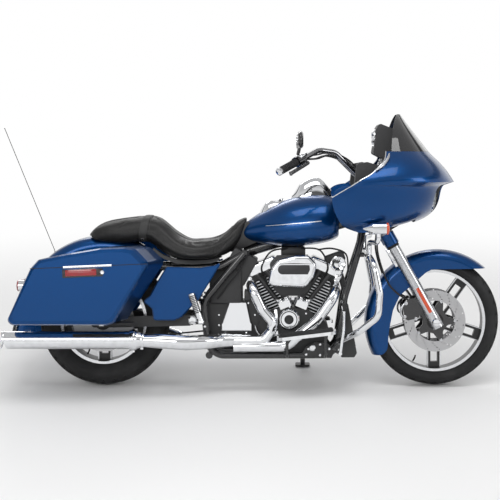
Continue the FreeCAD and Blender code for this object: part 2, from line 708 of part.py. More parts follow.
def fork():
    """Sliders, tubes and the wheel's spindle on the fork's own line."""
    legs = []
    for side in (-1, 1):
        low = fork_point(-size.slider_radius * 1.1, side)
        slider_top = fork_point(size.slider_length, side)
        top = fork_point(size.fork_length, side)
        legs.append(rod(low, slider_top, size.slider_radius))
        legs.append(rod(slider_top, top, size.tube_radius))
    half = size.front_axle_length / 2
    legs.append(Part.makeCylinder(size.front_axle_radius, 2 * half, FRONT_AXLE - Y * half, Y))
    for side in (-1, 1):
        near = side * (size.front_hub_width / 2 + size.bearing_gap)
        far = side * (size.fork_offset - size.slider_radius / 2)
        legs.append(rod(FRONT_AXLE + Y * near, FRONT_AXLE + Y * far, size.front_axle_radius * 1.5))
    keep("fork_legs", joined(legs))


def triple_clamps():
    """The two plates that hold the fork tubes, with the stem between them."""
    low_z, top_z = size.head_low, size.head_low + size.head_length
    plates = []
    spots = {}
    for name, height, away in (("low", low_z, -1), ("top", top_z, 1)):
        stem = steer_point(height) + STEER_AXIS * (away * (size.clamp_thickness / 2 + size.steer_gap))
        along = (stem - FRONT_AXLE).dot(STEER_AXIS) / FORK_AXIS.dot(STEER_AXIS)
        legs = [fork_point(along, side) for side in (-1, 1)]
        spots[name] = stem
        half = STEER_AXIS * (size.clamp_thickness / 2)
        bosses = [rod(leg - half, leg + half, size.clamp_reach) for leg in legs]
        across = STEER_AXIS.cross(Y) * size.clamp_reach
        web = [legs[0] - half, legs[1] - half, stem - half - across * 0.9 + Y * size.clamp_reach,
               stem - half - across * 0.9 - Y * size.clamp_reach]
        bridge = Part.Face(polygon(web)).extrude(half * 2)
        plates += bosses + [bridge, rod(stem - half, stem + half, size.clamp_reach * 0.97)]
    clamps = joined(plates + [rod(spots["low"], spots["top"], size.stem_radius)])
    for side in (-1, 1):
        hole = rod(fork_point(0, side), fork_point(size.fork_length * 1.2, side),
                   size.tube_radius + size.seat_gap)
        clamps = clamps.cut(hole)
    keep("triple_clamps", clamps)


def front_callipers():
    """Brake callipers behind the sliders, each open over its disc."""
    middle = FRONT_AXLE + Vector(-size.disc_radius * 0.72, 0, size.disc_radius * 0.36)
    thick = size.fork_offset - size.disc_offset + size.disc_thickness * 3
    block = [Vector(-0.32, 0, -0.42), Vector(0.2, 0, -0.3), Vector(0.42, 0, 0.1),
             Vector(0.3, 0, 0.46), Vector(-0.2, 0, 0.5), Vector(-0.45, 0, 0.12)]
    spots = [middle + point * size.disc_radius * 0.8 for point in block]
    wire = rounded_corners(spots, size.disc_radius * 0.12)
    start = size.fork_offset + size.slider_radius * 0.1
    body = slab(wire, thick)
    body.translate(-Y * start)
    slot = Part.makeCylinder(size.disc_radius + size.moving_gap / 2, size.disc_thickness * 2,
                             FRONT_AXLE - Y * (size.disc_offset + size.disc_thickness), Y)
    body = body.cut(slot)
    leg = rod(fork_point(-size.slider_radius, -1), fork_point(size.slider_length, -1),
              size.slider_radius)
    body = body.cut(leg)
    keep("front_callipers", pair(body))


BAR_SHARES = [(0.0, 0.0, 0.2), (0.2, 0.4, 0.3), (0.42, 0.94, 0.4), (0.6, 1.0, 0.52),
              (1.0, 0.47, 1.0)]


def bar_route(side):
    """The handlebar's centre line on one side, from the clamp to the grip's end."""
    clamp = steer_point(size.bar_clamp_height)
    back = clamp.x - size.bar_back
    return [Vector(clamp.x - a * back, side * c * size.bar_width / 2,
                   size.bar_clamp_height + b * size.bar_rise) for a, b, c in BAR_SHARES]


def handlebar():
    """One bent bar on two risers above the top clamp."""
    right, left = bar_route(-1), bar_route(1)
    bar = bent_tube(right[::-1] + left, size.bar_radius, size.bar_radius * 5)
    risers = []
    clamp_top = steer_point(size.head_low + size.head_length) \
        + STEER_AXIS * (size.clamp_thickness + size.steer_gap + size.seat_gap)
    for side in (-1, 1):
        top = steer_point(size.bar_clamp_height) + Y * (side * size.riser_offset)
        foot = clamp_top + Y * (side * size.riser_offset)
        risers.append(rod(foot, top, size.riser_radius))
    keep("handlebar", joined([bar] + risers))


def hand_controls():
    """Grips, switch housings and levers."""
    sets = []
    for side in (-1,):
        route = bar_route(side)
        end, inner = route[-1], route[-2]
        way = (inner - end).normalize()
        grip = rod(end - way * size.bar_radius, end + way * size.grip_length, size.grip_radius)
        housing = rod(end + way * (size.grip_length - size.seat_gap),
                      end + way * (size.grip_length * 1.42), size.grip_radius * 1.5)
        hole = rod(end, end + way * size.grip_length * 2, size.bar_radius + size.seat_gap)
        pivot = end + way * (size.grip_length * 1.3)
        forward = (X - way * X.dot(way)).normalize()
        knee = pivot + forward * size.lever_drop * 1.3
        tip = end + forward * size.lever_drop * 1.5
        lever = bent_tube([pivot + forward * size.bar_radius * 1.6, knee, tip], size.lever_radius,
                          size.lever_radius * 3)
        ball = Part.makeSphere(size.lever_radius * 1.3, tip)
        solid = joined([grip, housing, lever, ball]).cut(hole)
        sets.append(solid)
    keep("hand_controls", pair(sets[0]))


def mirrors():
    """Oval mirror heads on short stems from the switch housings."""
    route = bar_route(-1)
    end, inner = route[-1], route[-2]
    way = (inner - end).normalize()
    up = (Z - way * Z.dot(way)).normalize()
    foot = end + way * (size.grip_length * 1.2) + up * (size.grip_radius * 1.5 + size.bearing_gap)
    head = foot + up * size.mirror_rise + X * size.mirror_ahead - Y * size.mirror_rise * 0.3
    stem = rod(foot, head, size.lever_radius)
    sections = []
    for i, (a, w) in enumerate(((-0.5, 0.82), (0.0, 1.0), (0.5, 0.72))):
        half_w, half_h = size.mirror_length / 2 * w, size.mirror_height / 2 * w
        sections.append(egg_section(head.x + a * size.mirror_depth, half_w, -half_h, half_h, 0.85))
    shell = loft(sections)
    shell.translate(Vector(0, head.y, head.z + size.mirror_height * 0.3))
    keep("mirrors", pair(joined([shell, stem]).cut(pieces["hand_controls"].Shape)))


# Frame and engine

def frame_tubes():
    """Backbone, steering head, twin down tubes and lower rails, rear posts and seat rails."""
    head_low, head_top = steer_point(size.head_low), steer_point(size.head_low + size.head_length)
    neck = steer_point(size.neck_height)
    back = Vector(size.post_top_ahead, 0, size.backbone_back_height)
    parts = [rod(head_low, head_top, size.head_radius), rod(neck, back, size.backbone_radius),
             rod(back - Y * size.post_offset, back + Y * size.post_offset, size.post_radius)]
    heel = Vector(size.rail_back_ahead, 0, size.rail_height)
    front_cross = Vector(size.rail_front_ahead - size.rail_offset / 2, 0, size.rail_height)
    for spot, reach in ((heel, size.post_offset), (front_cross, size.rail_offset)):
        parts.append(rod(spot - Y * reach, spot + Y * reach, size.rail_radius))
    spine = (back - neck).normalize()
    for side in (-1, 1):
        parts += frame_side(side, neck + spine * size.down_tube_gap, back, heel)
    parts += fairing_bracket() + board_brackets() + peg_brackets() + stand_clevis()
    frame = welded(parts)
    bore = rod(head_low - STEER_AXIS * size.overrun, head_top + STEER_AXIS * size.overrun,
               size.stem_radius + size.steer_gap)
    keep("frame_tubes", frame.cut(bore))


def frame_side(side, top, back, heel):
    """The tubes, lugs and brackets of one side of the frame."""
    rail_out = size.tail_half_width + size.post_radius + size.seat_gap
    route = [top + Y * (side * size.down_tube_top_offset),
             Vector(size.knee_ahead, side * size.knee_offset, size.knee_height),
             Vector(size.shin_ahead, side * size.rail_offset, size.shin_height),
             Vector(size.rail_front_ahead, side * size.rail_offset, size.rail_height),
             heel + Y * (side * size.post_offset),
             Vector(size.post_mid_ahead, side * size.post_offset, size.post_mid_height),
             back + Y * (side * size.post_offset)]
    parts = [bent_tube(route, size.rail_radius, size.rail_radius * 5)]
    turn = Vector(back.x - size.rail_offset, side * rail_out, size.seat_rail_height)
    tail = Vector(-size.seat_rail_back, side * rail_out, size.seat_rail_height)
    parts.append(bent_tube([route[-1], turn, tail], size.post_radius, size.rail_radius * 4))
    pivot = Vector(size.pivot_ahead, side * (size.arm_offset - size.arm_width / 2
                                             - size.seat_gap), size.pivot_height)
    inner = pivot - Y * (side * size.lug_width)
    parts.append(rod(inner, pivot, size.lug_radius))
    parts.append(rod(inner, pivot + Y * (side * size.arm_width), size.pivot_radius))
    plate = Part.makeBox(size.post_mid_ahead - size.pivot_ahead + size.rail_radius,
                         size.lug_width, size.lug_radius * 2,
                         Vector(pivot.x, min(inner.y, pivot.y), pivot.z - size.lug_radius))
    parts.append(plate)
    shock_seat = size.shock_offset - size.shock_radius - size.seat_gap
    for ahead, reach, radius in ((size.shock_top_ahead, shock_seat, size.post_radius * 0.8),
                                 (-size.bag_bracket_back, size.bag_inner - size.seat_gap,
                                  size.bracket_radius),
                                 (size.bag_bracket_front, size.bag_inner - size.seat_gap,
                                  size.bracket_radius)):
        start = Vector(ahead, side * rail_out, size.seat_rail_height)
        parts.append(rod(start, Vector(ahead, side * reach, size.seat_rail_height), radius))
    guard = guard_route(side)[-1]
    shin = Vector(guard.x - size.guard_radius - size.seat_gap, side * size.knee_offset, guard.z)
    share = (size.knee_height - guard.z) / (size.knee_height - size.shin_height)
    tube = route[1] + (route[2] - route[1]) * share
    parts.append(rod(tube, Vector(shin.x, tube.y, shin.z), size.bracket_radius))
    if side > 0:
        foot = antenna_foot()
        start = Vector(tail.x + size.post_radius, tail.y, tail.z)
        parts.append(rod(start, foot - Z * size.seat_gap, size.lever_radius))
    return parts


def fairing_bracket():
    """The bar from the front of the steering head to the back of the lamps."""
    middle = steer_point(size.head_low + size.head_length / 2)
    end = Vector(size.lamp_back - size.seat_gap, 0, size.lamp_height)
    return [rod(middle + X * size.head_radius * 0.8, end, size.bracket_radius * 1.4)]


def stand_clevis():
    """Two cheeks and a web that hold the side stand's pin to the left lower rail."""
    pivot, axis = stand_pivot(), stand_axis().normalize()
    inward = (stand_pivot() - stand_foot()).normalize()
    start = size.stand_radius * 1.4 + size.bearing_gap
    cheek = size.stand_pin_radius * 0.7
    reach = (size.stand_pivot_offset - size.rail_offset - size.rail_radius) / abs(inward.y)
    half = size.stand_pin_radius * 1.8
    parts = []
    for way in (-1, 1):
        low = pivot + axis * (way * start)
        parts.append(rod(low, low + axis * (way * cheek), half))
        flat = [low - X * half, low + X * half, low + X * half + inward * reach,
                low - X * half + inward * reach]
        parts.append(Part.Face(polygon(flat)).extrude(axis * (way * cheek)))
    parts.append(rod(pivot - axis * (start + cheek), pivot + axis * (start + cheek),
                     size.stand_pin_radius))
    base = pivot + inward * (half + size.moving_gap) - axis * (start + cheek)
    web = [base - X * half, base + X * half, base + X * half + inward * (reach * 0.4),
           base - X * half + inward * (reach * 0.4)]
    parts.append(Part.Face(polygon(web)).extrude(axis * (2 * (start + cheek))))
    rail = Vector(pivot.x, size.rail_offset, size.rail_height)
    parts.append(rod(rail, base + axis * start + inward * (reach * 0.2), size.stand_pin_radius))
    return parts


def peg_brackets():
    """Brackets from the rear posts out to the passenger pegs' pins."""
    parts = []
    for side in (-1, 1):
        pin = peg_pin(side)
        share = (pin.z - size.rail_height) / (size.post_mid_height - size.rail_height)
        post = Vector(size.rail_back_ahead + (size.post_mid_ahead - size.rail_back_ahead) * share,
                      side * size.post_offset, pin.z)
        for end in (-1, 1):
            ear = pin + X * (end * (size.peg_radius * 0.8 + size.bearing_gap))
            parts.append(rod(ear, ear + X * (end * size.peg_pin_radius), size.peg_pin_radius * 1.6))
        parts.append(rod(pin - X * size.peg_radius, pin + X * size.peg_radius,
                         size.peg_pin_radius * 0.7))
        bridge = pin - Y * (side * (size.peg_pin_radius * 2.6 + size.moving_gap))
        parts.append(rod(post, bridge, size.bracket_radius))
        width = size.peg_radius * 0.8 + size.bearing_gap + size.peg_pin_radius
        parts.append(rod(bridge - X * width, bridge + X * width, size.peg_pin_radius))
        for end in (-1, 1):
            ear = pin + X * (end * (width - size.peg_pin_radius / 2))
            parts.append(rod(Vector(ear.x, bridge.y, bridge.z), ear, size.peg_pin_radius / 2))
    return parts


def crank():
    return Vector(size.crank_ahead, 0, size.crank_height)


def cylinder_axis(side):
    """The way a cylinder points, the front one for side 1 and the rear one for side -1."""
    return Vector(math.sin(VEE) * side, 0, math.cos(VEE))


def crankcase():
    """The lower engine: a rounded case with a flat sump and a deck under each cylinder."""
    low = size.rail_height + size.rail_radius + size.seat_gap
    middle = size.crank_ahead
    half = size.case_length / 2
    profile = [Vector(middle - half, 0, low), Vector(middle + half, 0, low),
               Vector(middle + half * 1.05, 0, low + size.case_radius),
               Vector(middle + half * 0.72, 0, size.case_top * 0.88),
               Vector(middle, 0, size.case_top), Vector(middle - half * 0.72, 0, size.case_top * 0.88),
               Vector(middle - half * 1.05, 0, low + size.case_radius)]
    case = slab(rounded_corners(profile, size.case_radius / 3), size.case_width)
    case.translate(-Y * (size.case_width / 2))
    for side in (-1, 1):
        start = crank() + cylinder_axis(side) * (size.barrel_start - size.seat_gap)
        deck = rod(crank() + cylinder_axis(side) * size.overrun, start, size.barrel_radius * 1.3)
        deck = deck.common(Part.makeBox(size.case_length * 2, size.case_width, size.case_top * 2,
                                        Vector(middle - size.case_length, -size.case_width / 2, low)))
        case = case.fuse(deck)
    keep("crankcase", case.removeSplitter())


def finned_cylinder(side):
    """A barrel and head with square cooling fins, cut away where the twin's fins would meet."""
    foot = crank() + cylinder_axis(side) * size.barrel_start
    parts = [Part.makeCylinder(size.barrel_radius, size.barrel_length, MIDDLE, Z)]
    for i in range(int(size.fin_count)):
        fin = Part.makeBox(size.fin_depth, size.fin_width, size.fin_thickness,
                           Vector(-size.fin_depth / 2, -size.fin_width / 2,
                                  size.fin_pitch * (i + 1)))
        corners = [e for e in fin.Edges if abs(e.Length - size.fin_thickness) < size.seat_gap]
        parts.append(fin.makeFillet(size.fin_pitch, corners))
    head = Part.makeBox(size.fin_depth * 0.86, size.fin_width * 0.86, size.fin_pitch * 2,
                        Vector(-size.fin_depth * 0.43, -size.fin_width * 0.43,
                               size.barrel_length - size.fin_pitch * 2))
    shape = joined(parts + [head])
    shape.rotate(MIDDLE, Y, math.degrees(VEE) * side)
    shape.translate(foot)
    return shape


def cylinders():
    middle = Part.makeBox(size.seat_gap * 8, size.case_width * 2, size.case_top * 3,
                          Vector(size.crank_ahead - size.seat_gap * 4, -size.case_width, 0))
    room = middle.fuse(pieces["crankcase"].Shape)
    sides = [finned_cylinder(side).cut(room) for side in (-1, 1)]
    keep("cylinders", Part.makeCompound([max(side.Solids, key=lambda s: s.Volume)
                                         for side in sides]))


def level_box(length, width, height, base):
    """A block with its middle over the origin, standing on a level."""
    return Part.makeBox(length, width, height, Vector(-length / 2, -width / 2, base))


def rocker_covers():
    """A low box, a narrow waist and a softened cap on each cylinder head."""
    length, width, tall = size.rocker_length, size.rocker_width, size.rocker_height
    low, waist = tall * 0.4, tall * 0.08
    covers = []
    for side in (-1, 1):
        base = level_box(length, width, low, 0)
        neck = level_box(length - size.rocker_edge, width - size.rocker_edge, waist, low)
        cap = level_box(length, width, tall - low - waist, low + waist)
        edges = [e for e in cap.Edges if e.BoundBox.ZMax > tall - size.seat_gap
                 or e.BoundBox.ZLength > waist]
        cap = cap.makeFillet(size.rocker_edge, edges)
        foot_edges = [e for e in base.Edges if e.BoundBox.ZLength > waist]
        base = base.makeFillet(size.rocker_edge, foot_edges)
        cover = joined([base, neck, cap])
        cover.rotate(MIDDLE, Y, math.degrees(VEE) * side)
        reach = size.barrel_start + size.barrel_length + size.seat_gap
        cover.translate(crank() + cylinder_axis(side) * reach)
        covers.append(cover)
    keep("rocker_covers", Part.makeCompound(covers))


def pushrod_tubes():
    """Four slim tubes from two tappet blocks up to the rocker covers, on the right side."""
    parts = []
    wall = -size.case_width / 2 - size.seat_gap
    deep = size.pushrod_radius * 2.4
    for side in (-1, 1):
        axis = cylinder_axis(side)
        across = Vector(axis.z, 0, -axis.x)
        middle = Vector(size.crank_ahead + side * size.tappet_spread, wall, size.tappet_height)
        block = Part.makeBox(size.tappet_size, deep, size.tappet_size * 0.6,
                             Vector(-size.tappet_size / 2, -deep, -size.tappet_size * 0.3))
        block.rotate(MIDDLE, Y, math.degrees(VEE) * side)
        block.translate(middle)
        tubes = [block]
        for spread in (-1, 1):
            low = middle + across * (spread * size.tappet_size * 0.28)
            low.y = -size.pushrod_offset
            top = crank() + axis * (size.barrel_start + size.barrel_length - size.fin_pitch * 0.1)
            top += across * (spread * size.fin_depth * 0.17)
            top.y = -size.pushrod_offset
            tubes.append(rod(low, top, size.pushrod_radius))
        parts.append(joined(tubes).cut(pieces["cam_cover"].Shape))
    keep("pushrod_tubes", Part.makeCompound(parts))


TIMER_RING_SHARES = (0.8, 0.42)


def cam_cover():
    """The right-hand engine cover with the round timer cover on it."""
    start = -size.case_width / 2 - size.seat_gap
    middle = Vector(size.timer_ahead, start, size.timer_height)
    reach = size.cam_radius
    shares = [(-1.35, -0.9), (1.25, -1.0), (1.7, -0.2), (1.0, 0.56), (-0.9, 0.56), (-1.6, -0.1)]
    wire = rounded_corners([middle + Vector(a * reach, 0, b * reach) for a, b in shares], reach / 3)
    plate = slab(wire, -size.cam_depth * 0.5)
    crown = Part.makeCylinder(size.timer_radius, size.cam_depth, middle, -Y)
    rim_edge = [e for e in crown.Edges if e.BoundBox.YMax < start - size.cam_depth / 2]
    crown = crown.makeChamfer(size.timer_depth / 2, rim_edge)
    face = middle - Y * (size.cam_depth - size.timer_depth / 2)
    for share in TIMER_RING_SHARES:
        outer = size.timer_radius * share
        groove = Part.makeCylinder(outer, size.timer_depth, face, -Y)
        crown = crown.cut(groove.cut(Part.makeCylinder(outer - size.ring_groove,
                                                       size.timer_depth, face, -Y)))
    keep("cam_cover", joined([plate, crown]))


GEARBOX_COVER_SHARES = [(0.0, 0.0), (1.0, 0.0), (1.0, 0.24), (0.96, 0.3), (0.82, 1.0),
                        (0.26, 1.0), (0.04, 0.3), (0.0, 0.24)]


def gearbox():
    """The gearbox behind the engine with its side cover, wide at the foot."""
    back = size.crank_ahead - size.case_length / 2 * 1.05 - size.seat_gap - size.gearbox_length
    box = Part.makeBox(size.gearbox_length + size.overrun, size.gearbox_width, size.gearbox_height,
                       Vector(back, -size.gearbox_width / 2, size.gearbox_low))
    edges = [e for e in box.Edges if e.BoundBox.YLength > size.gearbox_width / 2]
    box = box.makeFillet(size.case_radius / 4, edges)
    wall = size.gearbox_width / 2
    depth = size.gearbox_cover_depth
    spots = outline(GEARBOX_COVER_SHARES, back + size.gearbox_length * 0.32,
                    size.gearbox_low + size.gearbox_height * 0.36, size.gearbox_cover_length,
                    size.gearbox_cover_height, -wall)
    cover = slab(rounded_corners(spots, depth / 4), -depth)
    rims = [e for e in cover.Edges if e.BoundBox.YMax < -wall - depth / 2]
    cover = cover.makeChamfer(depth / 6, rims)
    box = joined([box, cover]).cut(pieces["crankcase"].Shape)
    keep("gearbox", box.cut(pieces["cylinders"].Shape))


def primary_cover():
    """The long oval cover of the primary drive on the left side."""
    half = size.primary_height / 2
    back, front = size.primary_back + half, size.primary_back + size.primary_length - half
    middle = size.primary_low + half
    start = size.primary_start
    top, low = middle + half * 0.82, middle - half * 0.82
    edges = [Part.Arc(Vector(back, start, top), Vector(back - half * 0.82, start, middle),
                      Vector(back, start, low)).toShape(),
             Part.makeLine(Vector(back, start, low), Vector(front, start, middle - half)),
             Part.Arc(Vector(front, start, middle - half), Vector(front + half, start, middle),
                      Vector(front, start, middle + half)).toShape(),
             Part.makeLine(Vector(front, start, middle + half), Vector(back, start, top))]
    cover = slab(Part.Wire(edges), size.primary_depth)
    rims = [e for e in cover.Edges if e.BoundBox.YMin > start + size.primary_depth / 2]
    cover = cover.makeFillet(size.primary_depth / 3, rims)
    face = size.case_width / 2 + size.seat_gap
    boss = Part.makeCylinder(half * 0.7, size.primary_start - face, Vector(front, face, middle), Y)
    keep("primary_cover", joined([cover, boss]))


INSERT_SHARES = [(0.2, 0.42), (0.2, 0.72), (0.86, 0.72), (0.86, 0.42)]


def air_cleaner():
    """A deep softened cover on a round-cornered back plate, on the right of the engine."""
    shares = [(0.0, 0.16), (0.06, 0.6), (0.2, 0.88), (0.56, 1.0), (0.84, 1.0), (1.0, 0.72),
              (0.93, 0.34), (0.76, 0.0), (0.1, 0.06)]
    spots = outline(shares, size.cleaner_back, size.cleaner_low, size.cleaner_length,
                    size.cleaner_height, -size.cleaner_start)
    wire = rounded_corners(spots, size.cleaner_height / 4)
    cover = slab(wire, -size.cleaner_depth)
    rims = [e for e in cover.Edges if e.BoundBox.YMax < -size.cleaner_start - size.cleaner_depth / 2]
    cover = cover.makeFillet(size.cleaner_edge, rims)
    front = size.cleaner_start + size.cleaner_depth
    insert = outline(INSERT_SHARES, size.cleaner_back, size.cleaner_low, size.cleaner_length,
                     size.cleaner_height, -front - size.cleaner_recess)
    cover = cover.cut(slab(rounded_corners(insert, size.cleaner_height / 8),
                           size.cleaner_recess * 2))
    posts = []
    face = -size.fin_width * 0.43 - size.seat_gap
    for along in (0.1, 0.9):
        spot = Vector(size.cleaner_back + size.cleaner_length * along, face,
                      size.cleaner_low + size.cleaner_height / 2)
        posts.append(Part.makeCylinder(size.pushrod_radius, size.cleaner_start + face, spot, -Y))
    keep("air_cleaner", joined([cover] + posts))


def cooler_cover():
    """The flat shield ahead of the lower frame, pinned between the down tubes."""
    shares = [(0.1, 1.0), (0.5, 1.0), (1.0, 0.08), (0.86, 0.0), (0.1, 0.0), (0.0, 0.2)]
    back = size.rail_front_ahead + size.rail_offset * 0.13
    wide = size.knee_offset * 1.3
    spots = outline(shares, back, size.rail_height - size.rail_radius, size.cooler_thickness * 1.4,
                    size.case_length * 0.8, -wide)
    shield = slab(rounded_corners(spots, size.rail_radius / 2), 2 * wide)
    pin_z = size.rail_height + size.case_length * 0.3
    pin = rod(Vector(back + size.lever_radius * 2, -size.rail_offset, pin_z),
              Vector(back + size.lever_radius * 2, size.rail_offset, pin_z), size.lever_radius)
    keep("cooler_cover", joined([shield, pin]).cut(pieces["frame_tubes"].Shape))


# Exhaust

def exhaust_pipes():
    """Two headers from the cylinder heads into one collector, and the pipes to both mufflers."""
    out = -size.header_offset
    rear_port = crank() + cylinder_axis(-1) * (size.barrel_start + size.barrel_length * 0.72)
    front_port = crank() + cylinder_axis(1) * (size.barrel_start + size.barrel_length * 0.72)
    half = size.fin_width / 2
    low = size.pipe_height
    fin = size.fin_depth / 2
    rear = [rear_port - X * fin - Y * half * 0.7, rear_port - X * (fin * 1.05) + Y * out,
            Vector(rear_port.x - fin * 0.3, out, low + size.fin_depth),
            Vector(rear_port.x + fin * 0.55, out, low + size.fin_depth * 0.5),
            Vector(rear_port.x - fin * 0.2, out, low), Vector(size.pipe_front, out, low)]
    front = [front_port + X * (fin * 0.95) - Y * half * 0.7,
             front_port + Vector(fin * 1.05, out, -fin * 0.5),
             Vector(front_port.x - fin * 0.1, out, low + size.fin_depth * 0.7),
             Vector(front_port.x - fin * 2.2, out, low - size.pipe_radius),
             Vector(size.pipe_front, out, low - size.pipe_radius)]
    rear_tube = bent_tube(rear, size.header_radius, size.fin_depth * 0.4)
    front_tube = bent_tube(front, size.header_radius, size.fin_depth * 0.6)
    end = Vector(size.muffler_front - size.muffler_inset, -size.muffler_offset, size.muffler_height)
    start = Vector(size.pipe_front + size.overrun, out, low)
    main = bent_tube([start, Vector(size.pipe_front - size.overrun, out, low),
                      Vector(size.pivot_ahead, -size.muffler_offset, low),
                      Vector(end.x + size.muffler_inset * 2, end.y, end.z), end],
                     size.pipe_radius, size.pipe_radius * 5)
    cross = bent_tube([Vector(size.pivot_ahead + size.overrun, (out - size.muffler_offset) / 2, low),
                       Vector(size.cross_ahead, out * 0.8, size.cross_height),
                       Vector(size.cross_ahead, -out * 0.8, size.cross_height),
                       Vector(size.cross_ahead - size.overrun, size.muffler_offset,
                              size.cross_height),
                       Vector(end.x + size.muffler_inset * 2, -end.y, end.z),
                       Vector(end.x, -end.y, end.z)], size.header_radius, size.pipe_radius * 3)
    pipes = joined([rear_tube, front_tube, main, cross])
    keep("exhaust_pipes", pipes.cut(pieces["cylinders"].Shape))


def mufflers():
    """Two long cans with a stepped collar in front and a slanted open tip."""
    back, front = -size.muffler_back, size.muffler_front
    start = Vector(back, -size.muffler_offset, size.muffler_height)
    collar_back = front - size.collar_length
    can = Part.makeCylinder(size.muffler_radius, collar_back - size.muffler_neck - back, start, X)
    neck = Part.makeCylinder(size.muffler_radius - size.muffler_neck / 2, front - back, start, X)
    collar = Part.makeCylinder(size.collar_radius, size.collar_length,
                               Vector(collar_back, start.y, start.z), X)
    nose = Part.makeCone(size.muffler_radius, size.pipe_radius + size.pipe_wall,
                         size.collar_length, Vector(front, start.y, start.z), X)
    bore = Part.makeCylinder(size.muffler_radius - size.muffler_wall, size.muffler_radius * 4,
                             start, X)
    inlet = Part.makeCylinder(size.pipe_radius + size.seat_gap, size.muffler_inset * 3,
                              Vector(front - size.muffler_inset - size.seat_gap, start.y, start.z), X)
    slant = [Vector(back - size.overrun, 0, start.z + size.muffler_radius * 2),
             Vector(back - size.muffler_tip_slant * 0.5, 0, start.z + size.muffler_radius * 2),
             Vector(back + size.muffler_tip_slant * 1.4, 0, start.z - size.muffler_radius * 2),
             Vector(back - size.overrun, 0, start.z - size.muffler_radius * 2)]
    wedge = slab(polygon(slant), 2 * size.muffler_offset)
    wedge.translate(-Y * (2 * size.muffler_offset))
    muffler = joined([can, neck, collar, nose]).cut(bore).cut(inlet).cut(wedge)
    keep("mufflers", pair(muffler))


# Bodywork

TANK_SHARES = [(0.0, 0.2, 0.19, 0.36), (0.1, 0.36, 0.1, 0.5), (0.3, 0.7, 0.03, 0.735),
               (0.55, 0.94, 0.0, 0.925), (0.78, 1.0, 0.04, 0.985), (0.92, 0.9, 0.1, 0.955),
               (1.0, 0.66, 0.18, 0.85)]
CONSOLE_SHARES = [(0.0, 0.5, 0.11), (0.16, 0.8, 0.31), (0.36, 0.9, 0.53), (0.56, 0.86, 0.68),
                  (0.62, 0.9, 0.84), (0.72, 0.96, 0.96), (0.82, 0.96, 1.0), (0.93, 0.9, 0.88),
                  (1.0, 0.7, 0.74)]
SEAT_SHARES = [(0.0, 0.5, 0.5, 0.62), (0.03, 0.68, 0.4, 0.76), (0.12, 0.84, 0.38, 0.88),
               (0.3, 0.84, 0.38, 0.97), (0.4, 0.82, 0.36, 0.98), (0.48, 0.86, 0.14, 0.84),
               (0.58, 0.96, 0.03, 0.54), (0.7, 1.0, 0.02, 0.45), (0.8, 0.88, 0.06, 0.5),
               (0.88, 0.64, 0.16, 0.66), (0.95, 0.42, 0.42, 0.9), (1.0, 0.24, 0.8, 0.99)]
PANEL_SHARES = [(0.0, 0.33), (0.09, 0.42), (0.2, 0.7), (0.3, 0.92), (0.72, 0.9), (0.9, 0.94),
                (1.0, 1.0), (0.86, 0.68), (0.72, 0.38), (0.5, 0.06), (0.4, 0.0), (0.14, 0.0),
                (0.12, 0.2)]


def tank_loft(grow=0.0):
    """The tank's outer form, narrow at the seat and fullest ahead of the knees."""
    sections = []
    for along, wide, low, high in TANK_SHARES:
        sections.append(egg_section(size.tank_back + along * size.tank_length,
                                    wide * size.tank_width / 2 + grow,
                                    size.tank_base + low * size.tank_height - grow,
                                    size.tank_base + high * size.tank_height + grow,
                                    0.86, belly=0.14))
    return loft(sections)


def console_loft(grow=0.0):
    """The long cap along the tank's spine, with the raised switch housing in front."""
    sections = []
    for along, wide, high in CONSOLE_SHARES:
        sections.append(egg_section(size.console_back + along * size.console_length,
                                    wide * size.console_width / 2 + grow,
                                    size.console_base - size.console_width / 2 - grow,
                                    size.console_base + high * size.console_height + grow, 0.74))
    return loft(sections)


def door_box(grow, height):
    """The fuel door's rounded outline, sunk along the console's slope."""
    low = Vector(size.door_back, 0, 0)
    rise = math.atan2(0.15 * size.console_height, 0.2 * size.console_length)
    half_l, half_w = size.door_length / 2 + grow, size.door_width / 2 + grow
    spots = [Vector(-half_l, -half_w, 0), Vector(half_l, -half_w, 0), Vector(half_l, half_w, 0),
             Vector(-half_l, half_w, 0)]
    plate = Part.Face(rounded_corners(spots, half_w * 0.9)).extrude(Z * height)
    plate.rotate(MIDDLE, Y, -math.degrees(rise))
    share = (size.door_back + size.door_length / 2 - size.console_back) / size.console_length
    top = size.console_base + (0.31 + (share - 0.16) * 1.06) * size.console_height
    plate.translate(low + X * (size.door_length / 2) + Z * (top - size.door_recess))
    return plate


def door_hinge():
    """The fuel door's hinge line at its front edge: a point and the door's own slope."""
    rise = math.atan2(0.15 * size.console_height, 0.2 * size.console_length)
    share = (size.door_back + size.door_length / 2 - size.console_back) / size.console_length
    top = size.console_base + (0.31 + (share - 0.16) * 1.06) * size.console_height
    middle = Vector(size.door_back + size.door_length / 2, 0, top - size.door_recess)
    along = Vector(math.cos(rise), 0, math.sin(rise))
    up = Vector(-math.sin(rise), 0, math.cos(rise))
    return middle + along * (size.door_length / 2) + up * (size.door_thickness + size.seat_gap)


def fuel_tank():
    """The tank, with its tunnel over the backbone."""
    tank = tank_loft()
    neck = steer_point(size.neck_height)
    back = Vector(size.post_top_ahead, 0, size.backbone_back_height)
    way = (neck - back).normalize()
    tunnel = rod(back - way * size.backbone_radius * 3, neck, size.backbone_radius + size.tunnel_gap)
    way_in = tunnel.copy()
    way_in.translate(-Z * size.backbone_radius * 2)
    half_way = tunnel.copy()
    half_way.translate(-Z * size.backbone_radius)
    head = rod(steer_point(size.head_low) - STEER_AXIS * size.overrun,
               steer_point(size.bar_clamp_height), size.head_radius + size.tunnel_gap)
    tank = tank.cut(tunnel).cut(way_in).cut(half_way).cut(head)
    keep("fuel_tank", max(tank.cut(console_loft(size.seat_gap)).Solids, key=lambda s: s.Volume))


